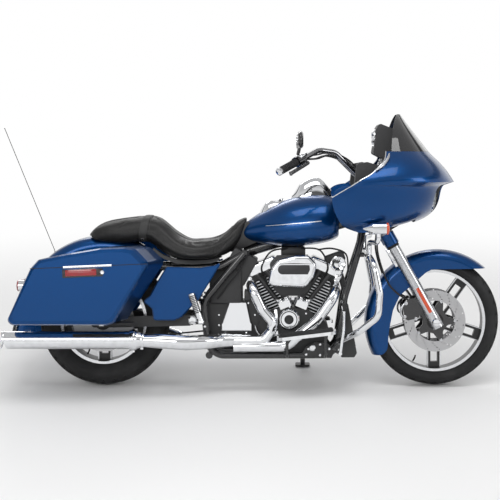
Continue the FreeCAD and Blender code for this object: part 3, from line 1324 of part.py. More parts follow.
def console():
    top = console_loft().cut(tank_loft(-size.tank_height * 0.06))
    body = max(top.Solids, key=lambda s: s.CenterOfMass.z)
    keep("tank_console", body.cut(door_box(size.bearing_gap, size.tank_height)))
    door = door_box(0, size.door_thickness).common(console_loft())
    keep("fuel_door", max(door.Solids, key=lambda s: s.Volume))


def seat():
    """The two-up seat: a low rider's place between the tank and the raised pillion."""
    sections = []
    for along, wide, low, high in SEAT_SHARES:
        sections.append(egg_section(size.seat_back + along * size.seat_length,
                                    wide * size.seat_width / 2,
                                    size.seat_base + low * size.seat_height,
                                    size.seat_base + high * size.seat_height, 0.66))
    grip = size.tail_radius + size.tail_edge * 0.1 + size.seat_clearance
    half = size.tail_half_width + size.seat_clearance
    fender = Part.makeCylinder(grip, 2 * half, REAR_AXLE - Y * half, Y)
    cushion = loft(sections).cut(fender).cut(tank_loft(size.seat_clearance))
    cushion = cushion.cut(console_loft(size.seat_clearance))
    keep("seat", max(cushion.Solids, key=lambda s: s.Volume))


def side_covers():
    """Crowned panels under the seat, one on each side."""
    spots = outline(PANEL_SHARES, size.panel_back, size.panel_base, size.panel_length,
                    size.panel_height, -size.panel_offset)
    wire = rounded_corners(spots, size.panel_depth / 2)
    panel = slab(wire, -size.panel_depth)
    rims = [e for e in panel.Edges if e.BoundBox.YMax < -size.panel_offset - size.panel_depth / 2]
    panel = panel.makeChamfer(size.panel_crown / 2, rims)
    pins = []
    for along in (0.35, 0.65):
        spot = Vector(size.panel_back + along * size.panel_length, -size.panel_offset,
                      size.seat_rail_height - size.lever_radius)
        pins.append(rod(spot, spot + Y * (size.panel_offset - size.tail_half_width - size.post_radius),
                        size.lever_radius))
    keep("side_covers", pair(joined([panel] + pins).cut(pieces["frame_tubes"].Shape)))


BAG_SHARES = [(0.0, 0.06), (0.165, 0.73), (0.22, 0.84), (0.37, 0.9), (0.66, 0.99), (0.83, 1.0),
              (0.9, 0.98), (1.0, 0.79), (0.75, 0.03), (0.7, 0.0), (0.03, 0.0)]


def bag_solid(inset=0.0):
    """The saddlebag's whole outer form, its front raked in plan and its outer edge rounded."""
    sections = []
    last = size.bag_outer - inset
    steps = ((size.bag_inner + inset, 0.0, 0.0), (size.bag_outer - size.bag_round, 0.9, 0.0),
             (size.bag_outer - size.bag_round * 0.3, 0.97, 0.3), (last, 1.0, 1.0))
    for across, rake, tuck in steps:
        pull = tuck * size.bag_round + inset
        length = size.bag_length + size.bag_front_slant * (1 - rake) - 2 * pull
        spots = outline(BAG_SHARES, size.bag_back + pull, size.bag_base + pull, length,
                        size.bag_height - 2 * pull, -across)
        sections.append(rounded_corners(spots, size.bag_round * 1.4))
    return loft(sections, True)


def seam_box(low, gap):
    """Everything below or above the lid's seam."""
    rise = math.degrees(math.atan2(size.seam_rise, size.bag_length * 0.9))
    reach = size.bag_length * 2
    box = Part.makeBox(reach * 2, reach, reach, Vector(-reach, -reach, -reach if low else gap))
    box.rotate(MIDDLE, Y, -rise)
    box.translate(Vector(size.bag_back + size.bag_length * 0.17, 0, size.seam_back_height))
    return box


def seam_way():
    rise = math.atan2(size.seam_rise, size.bag_length * 0.9)
    return Vector(math.cos(rise), 0, math.sin(rise))


def seam_hinge_point(side):
    """A point of the lid's hinge line, on the bag's outer face at the seam."""
    start = Vector(size.bag_back + size.bag_length * 0.17, 0, size.seam_back_height)
    along = seam_way()
    reach = (size.bag_hinge_back + size.bag_hinge_length / 2 - start.x) / along.x
    return start + along * reach + Y * (side * (size.bag_outer + size.bag_hinge_stand))


def hinge_barrel(middle, length, radius):
    """A round length of a lid hinge."""
    along = seam_way() * (length / 2)
    return rod(middle - along, middle + along, radius)


def hinge_leaf(middle, length, up):
    """The leaf that ties a length of hinge barrel to the bag's wall, above or below the seam."""
    depth = size.bag_hinge_stand + size.bag_wall / 2
    tall = 2 * size.bag_hinge_radius
    leaf = Part.makeBox(length, depth, tall, Vector(-length / 2, 0, size.seam_gap if up else -tall))
    leaf.rotate(MIDDLE, Y, -math.degrees(math.asin(seam_way().z)))
    leaf.translate(middle + Z * (size.seam_gap if up else -size.seam_gap))
    return leaf


def saddlebags():
    """Hollow hard bags with lids hinged along their outer seams."""
    shell = bag_solid().cut(bag_solid(size.bag_wall))
    middle = seam_hinge_point(-1)
    third = size.bag_hinge_length / 3
    radius = size.bag_hinge_radius
    ends = [middle + seam_way() * (end * third) for end in (-1, 1)]
    lid_length = third - 2 * size.seam_gap
    body = [shell.common(seam_box(True, 0))]
    for end in ends:
        body += [hinge_barrel(end, third, radius), hinge_leaf(end, third, False)]
    body = joined(body).cut(hinge_barrel(middle, third, radius + size.seam_gap))
    lid = joined([shell.common(seam_box(False, size.seam_gap)),
                  hinge_barrel(middle, lid_length, radius - size.seam_gap),
                  hinge_leaf(middle, lid_length, True)])
    for end in ends:
        lid = lid.cut(hinge_barrel(end, third, radius + size.seam_gap))
    body = max(body.Solids, key=lambda s: s.Volume)
    lid = max(lid.Solids, key=lambda s: s.Volume)
    keep("saddlebag_right", body)
    keep("bag_lid_right", lid)
    keep("saddlebag_left", other_side(body))
    keep("bag_lid_left", other_side(lid))


# Fairing

LOW_FAIRING_SHARES = [(0.0, 0.53, 0.79, 0.7), (0.085, 0.37, 0.915, 0.82), (0.23, 0.178, 0.972, 0.93),
                      (0.44, 0.113, 1.0, 0.99), (0.585, 0.065, 0.85, 1.0)]
TOP_FAIRING_SHARES = [(0.62, 0.0, 0.815, 1.0), (0.72, 0.04, 0.7, 0.95), (0.82, 0.09, 0.63, 0.87),
                      (0.9, 0.14, 0.59, 0.79), (1.0, 0.205, 0.575, 0.68)]
SCREEN_SHARES = [(0.0, 0.0, 0.93, 1.0), (0.4, 0.27, 0.9, 0.82), (0.75, 0.5, 0.84, 0.56),
                 (1.0, 0.65, 0.75, 0.22)]
NOSE_SHARES = [(0.0, 0.0), (0.035, 0.28), (0.13, 0.55), (0.32, 0.79), (0.6, 0.94), (1.0, 1.0)]


def nose_curve(nose, back, half, height):
    """A level, nose-shaped curve from the right rear edge round the front to the left."""
    depth = nose - back
    right = [Vector(nose - a * depth, -b * half, height) for a, b in NOSE_SHARES[::-1]]
    left = [Vector(nose - a * depth, b * half, height) for a, b in NOSE_SHARES[1:]]
    curve = Part.BSplineCurve()
    curve.interpolate(right + left)
    return curve.toShape()


def shell_section(nose, back, half, height, wall):
    """A closed level section of a nose-shaped shell."""
    outer = nose_curve(nose, back, half, height)
    inner = nose_curve(nose - wall, back, half - wall, height)
    right = Part.makeLine(Vector(back, -half, height), Vector(back, wall - half, height))
    left = Part.makeLine(Vector(back, half, height), Vector(back, half - wall, height))
    return Part.Wire([outer, left, inner, right])


def nose_shell(shares, tip, length, base, height, width, wall):
    """A shell through level sections."""
    sections = []
    for up, nose, back, wide in shares:
        sections.append(shell_section(tip - nose * length, tip - back * length, wide * width / 2,
                                      base + up * height, wall))
    return loft(sections)


def fairing():
    """The frame-mounted fairing: a wide shell, its nose overhanging the lamps."""
    tip = size.fairing_back + size.fairing_length
    box = (tip, size.fairing_length, size.fairing_base, size.fairing_height, size.fairing_width)
    low = nose_shell(LOW_FAIRING_SHARES, *box, size.fairing_wall)
    brow = nose_shell([LOW_FAIRING_SHARES[-1], TOP_FAIRING_SHARES[0]], *box, size.fairing_wall)
    top = nose_shell(TOP_FAIRING_SHARES, *box, size.fairing_wall)
    shell = joined([low, brow, top])
    level = size.fairing_base + TOP_FAIRING_SHARES[0][0] * size.fairing_height
    holes = []
    for side in (-1, 1):
        start = Vector(size.lamp_back, side * size.lamp_offset, size.lamp_height)
        holes.append(Part.makeCylinder(size.lamp_radius + size.seat_gap, size.fairing_length,
                                       start, X))
    for hole in holes:
        shell = shell.cut(hole.common(Part.makeBox(size.fairing_length, size.fairing_width,
                                                   level - size.fairing_base - size.seat_gap,
                                                   Vector(size.lamp_back, -size.fairing_width / 2,
                                                          size.fairing_base))))
    bay_half = size.fairing_width / 4
    bay = Part.makeBox(size.fairing_length * 0.67, 2 * bay_half, size.fairing_height * 0.2,
                       Vector(size.fairing_back, -bay_half, size.fairing_base))
    bay = bay.makeFillet(size.lamp_radius / 2, [e for e in bay.Edges
                                                if e.BoundBox.XLength > size.lamp_radius
                                                and e.BoundBox.ZMin > size.fairing_base])
    shell = shell.cut(bay)
    keep("fairing_outer", max(shell.Solids, key=lambda s: s.Volume))


def windscreen():
    """The short smoked screen standing on the fairing's top edge."""
    tip = size.screen_back + size.screen_length
    base = size.fairing_base + size.fairing_height + size.seat_gap
    screen = nose_shell(SCREEN_SHARES, tip, size.screen_length, base, size.screen_height,
                        size.screen_width, size.screen_wall)
    keep("windscreen", screen)


def headlamps():
    """Two round lamp bodies side by side under the brow."""
    lamps = []
    for side in (-1,):
        start = Vector(size.lamp_back, side * size.lamp_offset, size.lamp_height)
        body = Part.makeCylinder(size.lamp_radius, size.lamp_depth, start, X)
        front = [e for e in body.Edges if e.BoundBox.XMin > start.x + size.lamp_depth / 2]
        body = body.makeFillet(size.lamp_radius / 4, front)
        back = Part.makeCone(size.lamp_radius * 0.4, size.lamp_radius, size.lamp_depth / 2,
                             start - X * (size.lamp_depth / 2), X)
        mouth = start + X * (size.lamp_depth / 2)
        bowl = Part.makeCylinder(size.lamp_radius + size.lamp_lip, size.fairing_length, mouth, X)
        bowl = bowl.cut(Part.makeCylinder(size.lamp_radius - size.lamp_lip / 2,
                                          size.fairing_length, mouth, X))
        bowl = bowl.common(fairing_room(LOW_FAIRING_SHARES, size.seat_gap))
        lamps.append(joined([body, back, bowl]))
    bridge = Part.makeBox(size.lamp_depth / 3, size.lamp_offset * 2, size.lamp_radius / 2,
                          Vector(size.lamp_back, -size.lamp_offset,
                                 size.lamp_height - size.lamp_radius / 4))
    lamps = joined([lamps[0], other_side(lamps[0]), bridge])
    keep("headlamps", lamps.cut(pieces["frame_tubes"].Shape))


def fairing_room(shares, gap):
    """The space inside the fairing's shell, less a gap."""
    tip = size.fairing_back + size.fairing_length
    inset = size.fairing_wall + gap
    sections = []
    for up, nose, back, wide in shares:
        rear = tip - back * size.fairing_length
        half = wide * size.fairing_width / 2 - inset
        curve = nose_curve(tip - nose * size.fairing_length - inset, rear, half,
                           size.fairing_base + up * size.fairing_height)
        sections.append(Part.Wire([curve, Part.makeLine(Vector(rear, half, curve.BoundBox.ZMin),
                                                        Vector(rear, -half, curve.BoundBox.ZMin))]))
    return loft(sections)


def inner_fairing():
    """The dark inner panel with its gauge housing and side pods, behind the outer shell."""
    base = size.fairing_base + size.fairing_height * 0.6
    top = size.fairing_base + size.fairing_height
    wide = size.fairing_width
    lean = (top - base) * 0.28
    wall = size.dash_wall
    foot = size.fairing_base + size.fairing_height * 0.73
    plate = [Vector(size.dash_ahead, 0, foot), Vector(size.dash_ahead + wall, 0, foot),
             Vector(size.dash_ahead + lean + wall, 0, top), Vector(size.dash_ahead + lean, 0, top)]
    panel = slab(polygon(plate), wide)
    panel.translate(-Y * (wide / 2))
    panel = panel.common(fairing_room(TOP_FAIRING_SHARES, size.seat_gap)
                         .fuse(fairing_room(LOW_FAIRING_SHARES, size.seat_gap)))
    gauge = size.gauge_radius
    x0 = size.dash_ahead
    hood = [Vector(x0 - gauge * 0.7, 0, top - gauge * 0.2), Vector(x0 - gauge * 0.5, 0, top + gauge),
            Vector(x0 - gauge * 0.45, 0, top + gauge * 2.3), Vector(x0, 0, top + gauge * 3),
            Vector(x0 + gauge * 1.5, 0, top + gauge * 2.4), Vector(x0 + gauge * 1.3, 0, top),
            Vector(x0 + gauge * 0.8, 0, top - gauge)]
    visor = slab(rounded_corners(hood, wall * 2), gauge * 5)
    visor.translate(-Y * (gauge * 2.5))
    pods = []
    for side in (-1, 1):
        pod = [Vector(x0 - gauge * 2.9, 0, base - gauge * 0.4),
               Vector(x0 - gauge * 2.6, 0, top - gauge * 1.3),
               Vector(x0 - gauge * 1.5, 0, top - gauge * 1.1),
               Vector(x0 + wall, 0, top - gauge * 1.6), Vector(x0 + wall, 0, base)]
        block = slab(rounded_corners(pod, wall * 2), gauge * 1.4)
        block.translate(Y * (gauge * 5 if side > 0 else -gauge * 6.4))
        pods.append(block)
    whole = joined([panel, visor] + pods)
    whole = whole.cut(pieces["fairing_outer"].Shape)
    keep("fairing_inner", max(whole.Solids, key=lambda s: s.Volume))


# Outer fittings

GUARD_SHARES = [(0.0, 0.36, 1.0), (0.5, 0.84, 0.84), (0.96, 1.0, 0.66), (1.0, 1.0, 0.4),
                (0.86, 0.96, 0.08), (0.76, 0.8, 0.0)]


def guard_route(side):
    """The engine guard's line on one side, from the lower frame out, up and in to the middle."""
    low = size.guard_top - size.guard_drop
    return [Vector(size.guard_back + a * size.guard_depth, side * b * size.guard_width / 2,
                   low + (1 - c) * size.guard_drop) for a, b, c in GUARD_SHARES]


def engine_guard():
    """One bar: across the down tubes, out, down and back to the lower rails on both sides."""
    right, left = guard_route(-1), guard_route(1)
    bar = bent_tube(right + left[::-1], size.guard_radius, size.guard_radius * 4)
    keep("engine_guard", bar.cut(pieces["frame_tubes"].Shape))


def footboards():
    """Rubber-topped boards for the rider, each on a pin along its inner edge."""
    for word, side in (("right", -1), ("left", 1)):
        low, high = size.board_height, size.board_height + size.board_rise
        back, front = size.board_back, size.board_back + size.board_length
        thick = size.board_thickness
        inner = size.board_inner + size.board_pin_radius + size.bearing_gap
        spots = [Vector(back, 0, low), Vector(front, 0, high), Vector(front, 0, high + thick),
                 Vector(back, 0, low + thick)]
        board = slab(polygon(spots), size.board_width)
        board.translate(Y * inner)
        corners = [e for e in board.Edges if abs(e.BoundBox.ZLength - thick) < thick / 2
                   and e.BoundBox.YLength < size.seat_gap and e.BoundBox.XLength < thick]
        outer = [e for e in corners if e.BoundBox.YMin > inner + size.board_width / 2]
        board = board.makeFillet(size.board_width / 3, outer)
        rod_half = size.board_length * 0.3
        along = Vector(front - back, 0, high - low).normalize()
        barrel = rod(pin_point() - along * rod_half, pin_point() + along * rod_half,
                     size.board_pin_radius)
        root = pin_point() - Z * (thick / 2)
        leaf_half = rod_half - size.board_pin_radius / 4
        leaf = [root - along * leaf_half, root + along * leaf_half,
                root + along * leaf_half + Z * thick, root - along * leaf_half + Z * thick]
        hinge = slab(polygon(leaf), size.board_pin_radius * 2)
        spindle = rod(pin_point() - along * (rod_half * 2), pin_point() + along * (rod_half * 2),
                      size.board_pin_radius / 2 + size.bearing_gap)
        board = joined([board, hinge, barrel]).cut(spindle)
        keep("footboard_" + word, board if side > 0 else other_side(board))


def pin_point():
    """The middle of the left footboard's pin."""
    return Vector(size.board_back + size.board_length / 2, size.board_inner,
                  size.board_height + size.board_rise / 2 + size.board_thickness / 2)


def board_pin(side):
    """The footboard's fold axis: a point and the way along its inner edge."""
    along = Vector(size.board_length, 0, size.board_rise).normalize()
    point = pin_point()
    return Vector(point.x, side * point.y, point.z), along


def board_brackets():
    """Brackets from the lower rails out to both ends of each footboard's pin.

    They pass under the pipes on the right, and above the folded side stand on the left.
    """
    parts = []
    for side in (-1, 1):
        point, along = board_pin(side)
        half = size.board_length * 0.3
        tip = half + size.board_pin_radius * 2
        parts.append(rod(point - along * tip, point + along * tip, size.board_pin_radius / 2))
        for end in (-1, 1):
            near = point + along * (end * (half + size.bearing_gap))
            far = near + along * (end * size.board_pin_radius * 2)
            parts.append(rod(near, far, size.board_pin_radius))
            middle = (near + far) / 2
            inner = Vector(middle.x, side * size.rail_offset, size.rail_height)
            if side < 0:
                low = Vector(middle.x, middle.y, size.rail_height)
                parts.append(bent_tube([inner, low, middle], size.board_pin_radius * 0.9,
                                       size.board_pin_radius * 2))
            else:
                parts.append(rod(inner, middle, size.board_pin_radius * 0.9))
    return parts


def passenger_pegs():
    """Folding pegs for the pillion, stored upright ahead of the side covers."""
    for word, side in (("right", -1), ("left", 1)):
        pin = peg_pin(side)
        rake = math.radians(size.peg_rake_degrees)
        up = Vector(-math.sin(rake), 0, math.cos(rake))
        peg = rod(pin + up * size.peg_pin_radius, pin + up * size.peg_length, size.peg_radius)
        eye = rod(pin - X * size.peg_radius * 0.8, pin + X * size.peg_radius * 0.8,
                  size.peg_pin_radius * 1.6)
        room = [Part.makeBox(size.peg_radius, size.peg_radius * 4, size.peg_radius * 2,
                             pin + Vector(near, -size.peg_radius * 2, -size.peg_radius))
                for near in (size.peg_radius * 0.8, -size.peg_radius * 1.8)]
        hole = rod(pin - X * size.peg_radius * 2, pin + X * size.peg_radius * 2,
                   size.peg_pin_radius * 0.7 + size.bearing_gap)
        solid = joined([peg, eye]).cut(hole).cut(room[0]).cut(room[1])
        keep("passenger_peg_" + word, solid)


def peg_pin(side):
    """The middle of a passenger peg's pin."""
    return Vector(size.peg_ahead, side * size.peg_offset, size.peg_height)


def side_stand():
    """The leg swung out to the left, its foot flat on the floor of the leaning machine."""
    pivot, foot = stand_pivot(), stand_foot()
    leg = rod(pivot, foot, size.stand_radius)
    eye = rod(pivot - stand_axis() * size.stand_radius * 1.4,
              pivot + stand_axis() * size.stand_radius * 1.4, size.stand_pin_radius * 1.8)
    half_l, half_w = size.stand_foot_length / 2, size.stand_foot_width / 2
    spots = [Vector(-half_l, -half_w, 0), Vector(half_l, -half_w, 0), Vector(half_l, half_w, 0),
             Vector(-half_l, half_w, 0)]
    pad_plate = Part.Face(rounded_corners(spots, half_w / 2)).extrude(Z * size.stand_foot_thickness)
    pad_plate.rotate(MIDDLE, X, size.lean_degrees)
    pad_plate.translate(floor_point(foot.x, foot.y))
    hole = rod(pivot - stand_axis() * size.overrun, pivot + stand_axis() * size.overrun,
               size.stand_pin_radius + size.bearing_gap)
    keep("side_stand", joined([leg, eye, pad_plate]).cut(hole))


def floor_point(ahead, across):
    """The point of the floor under a place of the leaning machine."""
    return Vector(ahead, across, across * math.tan(LEAN))


def stand_pivot():
    return Vector(size.stand_pivot_ahead, size.stand_pivot_offset, size.stand_pivot_height)


def stand_foot():
    return floor_point(size.stand_pivot_ahead, size.stand_foot_offset) \
        + Z * (size.stand_foot_thickness / 2)


def stand_axis():
    """The stand's pivot axis, square to the leg and to the folded leg."""
    leg = (stand_foot() - stand_pivot()).normalize()
    return leg.cross(-X)


def fork_covers():
    """Painted covers round the fork tubes between the sliders and the lower clamp."""
    covers = []
    low = fork_point(size.slider_length + size.seat_gap * 4, -1)
    top_along = (size.head_low - size.clamp_thickness * 1.7 - FRONT_Z) / math.cos(FORK)
    top = fork_point(top_along, -1)
    outer = rod(low, top, size.slider_radius * 1.25)
    hole = rod(low - FORK_AXIS, top + FORK_AXIS, size.tube_radius + size.seat_gap)
    keep("fork_covers", pair(outer.cut(hole)))


def turn_signals():
    """Bullet signals on chrome arms that reach out from the guard's top bar."""
    centre = Vector(size.signal_ahead, -size.signal_offset, size.signal_height)
    body = Part.makeCylinder(size.signal_radius, size.signal_length, centre, X)
    front = [e for e in body.Edges if e.BoundBox.XMin > centre.x + size.signal_length / 2]
    body = body.makeFillet(size.signal_radius / 3, front)
    tail = Part.makeCone(size.signal_radius / 8, size.signal_radius, size.signal_radius * 1.6,
                         centre - X * (size.signal_radius * 1.6), X)
    guard = guard_route(-1)[-1]
    foot = Vector(guard.x, guard.y * 0.8, guard.z + size.guard_radius + size.seat_gap)
    arm = bent_tube([centre + X * size.signal_radius,
                     centre + Vector(size.signal_radius, 0, -size.signal_radius * 2.4),
                     foot + Vector(0, -size.signal_radius, size.signal_radius * 2), foot],
                    size.signal_radius * 0.42, size.signal_radius)
    keep("turn_signals", pair(joined([body, tail, arm]).cut(pieces["engine_guard"].Shape)))


def rear_lamps():
    """The tail lamp on the fender with a signal on a stalk at each side."""
    turn = math.radians(size.tail_lamp_degrees)
    spot = REAR_AXLE + Vector(math.cos(turn), 0, math.sin(turn)) * (size.tail_radius + size.seat_gap)
    lamp = Part.makeBox(size.tail_lamp_radius * 0.9, size.tail_lamp_radius * 3,
                        size.tail_lamp_radius * 1.5,
                        spot - Vector(size.tail_lamp_radius * 0.7, size.tail_lamp_radius * 1.5, 0))
    bar_z = spot.z + size.tail_lamp_radius * 0.75
    stalk = rod(Vector(spot.x - size.tail_lamp_radius * 0.3, -size.tail_lamp_offset, bar_z),
                Vector(spot.x - size.tail_lamp_radius * 0.3, size.tail_lamp_offset, bar_z),
                size.lever_radius)
    parts = [lamp, stalk]
    for side in (-1, 1):
        centre = Vector(spot.x - size.tail_lamp_radius * 0.3, side * size.tail_lamp_offset, bar_z)
        parts.append(Part.makeCylinder(size.tail_lamp_radius * 0.9, size.tail_lamp_radius,
                                       centre + X * size.tail_lamp_radius * 0.5, -X))
    grip = size.tail_radius + size.tail_edge * 0.1 + size.seat_gap
    shape = joined(parts)
    keep("rear_lamps", shape.cut(Part.makeCylinder(grip, size.tail_half_width * 2,
                                                   REAR_AXLE - Y * size.tail_half_width, Y)))


def plate_bracket():
    """A bare plate behind the fender, on two short struts."""
    turn = math.radians(size.plate_spot_degrees)
    top = REAR_AXLE + Vector(math.cos(turn), 0, math.sin(turn)) * size.tail_radius
    away = Vector(math.cos(turn), 0, math.sin(turn))
    middle = top - Z * (size.plate_height * 0.8) + away * size.tail_lamp_radius
    plate = Part.makeBox(size.plate_thickness, size.plate_width, size.plate_height,
                         Vector(-size.plate_thickness, -size.plate_width / 2,
                                -size.plate_height / 2))
    plate.rotate(MIDDLE, Y, size.plate_turn_degrees)
    plate.translate(middle)
    parts = [plate]
    for side in (-1, 1):
        start = middle + Y * (side * size.plate_width / 4)
        parts.append(rod(start - X * (size.plate_thickness / 2),
                         start + X * size.tail_lamp_radius * 1.4, size.lever_radius))
    bracket = joined(parts).cut(pieces["rear_fender"].Shape)
    keep("plate_bracket", max(bracket.Solids, key=lambda s: s.Volume))


def antenna_foot():
    """The middle of the antenna's foot, on its stalk from the left seat rail."""
    return Vector(size.bag_back + size.antenna_offset, size.antenna_offset, size.antenna_height)


def antenna():
    """A thin whip on a foot at the left rear, raked back."""
    foot = antenna_foot()
    rake = math.radians(size.antenna_rake_degrees)
    way = Vector(-math.sin(rake), 0, math.cos(rake))
    base = Part.makeCylinder(size.antenna_foot_radius, size.overrun / 2, foot, Z)
    whip = rod(foot + Z * size.overrun / 4, foot + way * size.antenna_length, size.antenna_radius)
    ball = Part.makeSphere(size.antenna_radius * 1.6, foot + way * size.antenna_length)
    keep("antenna", joined([base, whip, ball]).cut(pieces["frame_tubes"].Shape))


def foot_controls():
    """The brake pedal on the right and the shift lever on the left, ahead of the footboards."""
    toe = Vector(size.rail_front_ahead, -size.rail_offset, size.rail_height + size.rail_radius)
    pivot = Vector(toe.x + size.board_thickness, -size.board_inner, toe.z)
    pad_at = Vector(size.board_back + size.board_length + size.overrun, -size.board_inner * 1.1,
                    size.board_height + size.board_length * 0.55)
    knee = Vector(pivot.x + size.board_thickness, pivot.y, (pivot.z + pad_at.z) / 2)
    arm = bent_tube([pivot, knee, pad_at], size.lever_radius * 1.3, size.lever_radius * 6)
    plate = rod(pad_at + Y * size.board_width * 0.1, pad_at - Y * size.board_width * 0.45,
                size.lever_radius * 2)
    boss = rod(toe, pivot - Y * size.lever_radius, size.lever_radius * 1.5)
    keep("foot_controls", pair(joined([arm, plate, boss]).cut(pieces["frame_tubes"].Shape)))


# The whole machine

def draw():
    wheels()
    swingarm()
    rear_axle()
    drive_belt()
    shocks()
    rear_fender()
    front_fender()
    fork()
    fork_covers()
    triple_clamps()
    front_callipers()
    handlebar()
    hand_controls()
    mirrors()
    frame_tubes()
    crankcase()
    cylinders()
    rocker_covers()
    cam_cover()
    pushrod_tubes()
    gearbox()
    primary_cover()
    air_cleaner()
    cooler_cover()
    exhaust_pipes()
    mufflers()
    fuel_tank()
    console()
    seat()
    side_covers()
    saddlebags()
    fairing()
    windscreen()
    headlamps()
    inner_fairing()
    engine_guard()
    footboards()
    passenger_pegs()
    side_stand()
    turn_signals()
    rear_lamps()
    plate_bracket()
    antenna()
    foot_controls()
    doc.recompute()


def parked_placement():
    """The lean onto the side stand, with the origin under the bounding box's middle."""
    low, high = Vector(1, 1, 1) * math.inf, Vector(1, 1, 1) * -math.inf
    for item in pieces.values():
        box = item.Shape.copy().transformed(LEAN_TURN.toMatrix()).optimalBoundingBox(False, False)
        low = Vector(min(low.x, box.XMin), min(low.y, box.YMin), min(low.z, box.ZMin))
        high = Vector(max(high.x, box.XMax), max(high.y, box.YMax), max(high.z, box.ZMax))
    middle = (low + high) / 2
    return FreeCAD.Placement(Vector(-middle.x, -middle.y, -low.z), FreeCAD.Rotation()) * LEAN_TURN


def park():
    """Lean every sub-part over together."""
    parked = parked_placement()
    for item in pieces.values():
        item.Placement = parked * item.Placement
    doc.recompute()
    return parked


def check_and_export():
    """Write each sub-part once every object of the document is sound."""
    for item in doc.Objects:
        if "Invalid" in item.State or "Error" in item.State:
            raise RuntimeError(item.Name + " did not build")
    for label, item in pieces.items():
        if item.Shape.isNull() or not item.Shape.isValid():
            raise RuntimeError(label + " has no sound shape")
    os.makedirs("parts", exist_ok=True)
    for label, item in pieces.items():
        item.Shape.exportStep(os.path.join("parts", label + ".step"))


draw()
PARKED = park()
check_and_export()
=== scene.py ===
"""Looks for the touring cruiser: finishes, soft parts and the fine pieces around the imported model."""

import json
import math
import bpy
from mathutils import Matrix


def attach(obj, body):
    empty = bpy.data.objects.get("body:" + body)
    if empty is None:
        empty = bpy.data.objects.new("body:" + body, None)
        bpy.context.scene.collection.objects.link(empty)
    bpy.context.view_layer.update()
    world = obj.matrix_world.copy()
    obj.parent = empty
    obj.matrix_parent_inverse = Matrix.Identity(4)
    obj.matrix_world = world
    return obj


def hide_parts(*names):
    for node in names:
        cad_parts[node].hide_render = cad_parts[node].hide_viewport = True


bl_info = {
    "name": "Touring cruiser dressing",
    "version": (1, 0, 0),
    "blender": (4, 5, 0),
    "location": "View3D > Sidebar > Cruiser",
    "description": "Dresses the touring cruiser with its finishes, soft parts and fine pieces",
    "category": "Object",
}

import bmesh
import bpy
from bpy.props import FloatProperty, FloatVectorProperty, IntProperty, PointerProperty
from mathutils import Matrix, Vector
from mathutils.bvhtree import BVHTree

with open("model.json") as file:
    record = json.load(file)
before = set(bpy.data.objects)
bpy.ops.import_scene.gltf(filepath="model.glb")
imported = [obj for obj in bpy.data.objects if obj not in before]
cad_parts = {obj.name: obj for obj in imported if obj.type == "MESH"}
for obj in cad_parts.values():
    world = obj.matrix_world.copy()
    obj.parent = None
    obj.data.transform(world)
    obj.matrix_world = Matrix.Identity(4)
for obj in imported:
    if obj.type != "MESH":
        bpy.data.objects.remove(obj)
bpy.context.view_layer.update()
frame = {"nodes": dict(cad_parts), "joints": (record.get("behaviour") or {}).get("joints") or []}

# Where the upright machine stands once it leans on its side stand

SPIN = {j["name"]: j for j in frame["joints"]}
REAR_SPIN = SPIN["rear_wheel_spin"]
LEAN = math.atan2(-REAR_SPIN["axis"][2], REAR_SPIN["axis"][1])
REAR_AXLE = Vector((0.0, 0.0, 0.320983))
FRONT_AXLE = Vector((1.625, 0.0, 0.319727))
TILT = Matrix.Rotation(-LEAN, 4, "X")
FOOT = Vector(REAR_SPIN["pos_m"]) - TILT @ REAR_AXLE
PARKED = Matrix.Translation(FOOT) @ TILT
X, Y, Z = Vector((1, 0, 0)), Vector((0, 1, 0)), Vector((0, 0, 1))

# Places on the upright machine, in metres ahead of the rear axle, left and up

FORK = math.radians(29.25)           # how far the fork's legs lean back
FORK_AXIS = Vector((-math.sin(FORK), 0, math.cos(FORK)))
VEE = math.radians(22.5)             # how far each cylinder leans from upright
CRANK = Vector((0.93, 0.0, 0.19))
TIMER = Vector((0.909, 0.0, 0.332))  # middle of the timer cover
CASE_FACE = -0.119                   # the crankcase's outer face on the right
GEARBOX_FACE = -0.0805
PIPE_SIDE = 0.275                    # the mufflers' distance from the middle
GRIP_SIDE = 0.45                     # the bar ends' distance from the middle
GRIP_END = Vector((0.87, 0.0, 1.0579))
GRIP_WAY = Vector((0.608, 0.722, 0.331)).normalized()
BLADE_PAIRS = 5
SIDES = (-1, 1)
HANDS = (("right", -1), ("left", 1))


def at(x, y, z):
    """A point of the upright machine, in metres ahead, left and up."""
    return Vector((x, y, z))


def sided(side, *rows):
    """Points drawn for the left side, on the side that is asked for."""
    return [at(x, side * y, z) for x, y, z in rows]


def flat(across, outline):
    """A side-view outline at a distance across."""
    return [at(x, across, z) for x, z in outline]


def fork_point(along, side=0.0):
    """A point of a fork leg's axis, measured up from the front axle."""
    return FRONT_AXLE + FORK_AXIS * along + Y * side


def cylinder_ways(end):
    """The way that the front cylinder points, or the rear one for end -1, and the way square to it."""
    axis = at(math.sin(VEE) * end, 0, math.cos(VEE))
    return axis, at(axis.z, 0, -axis.x)


# What a user would change

class CruiserColours(bpy.types.PropertyGroup):
    """Colours of the machine's finishes."""

    paint: FloatVectorProperty(name="Paint", description="Metallic body colour", subtype="COLOR",
                               size=3, default=(0.003, 0.075, 0.26))
    paint_shade: FloatVectorProperty(name="Paint shade", description="Body colour between flakes",
                                     subtype="COLOR", size=3, default=(0.001, 0.045, 0.17))
    leather: FloatVectorProperty(name="Seat", description="Seat leather", subtype="COLOR", size=3,
                                 default=(0.014, 0.0137, 0.0137))
    red_lens: FloatVectorProperty(name="Red lens", description="Tail lamps and reflectors",
                                  subtype="COLOR", size=3, default=(0.36, 0.012, 0.018))
    orange_lens: FloatVectorProperty(name="Orange lens", description="Signals and fork reflectors",
                                     subtype="COLOR", size=3, default=(0.75, 0.075, 0.008))


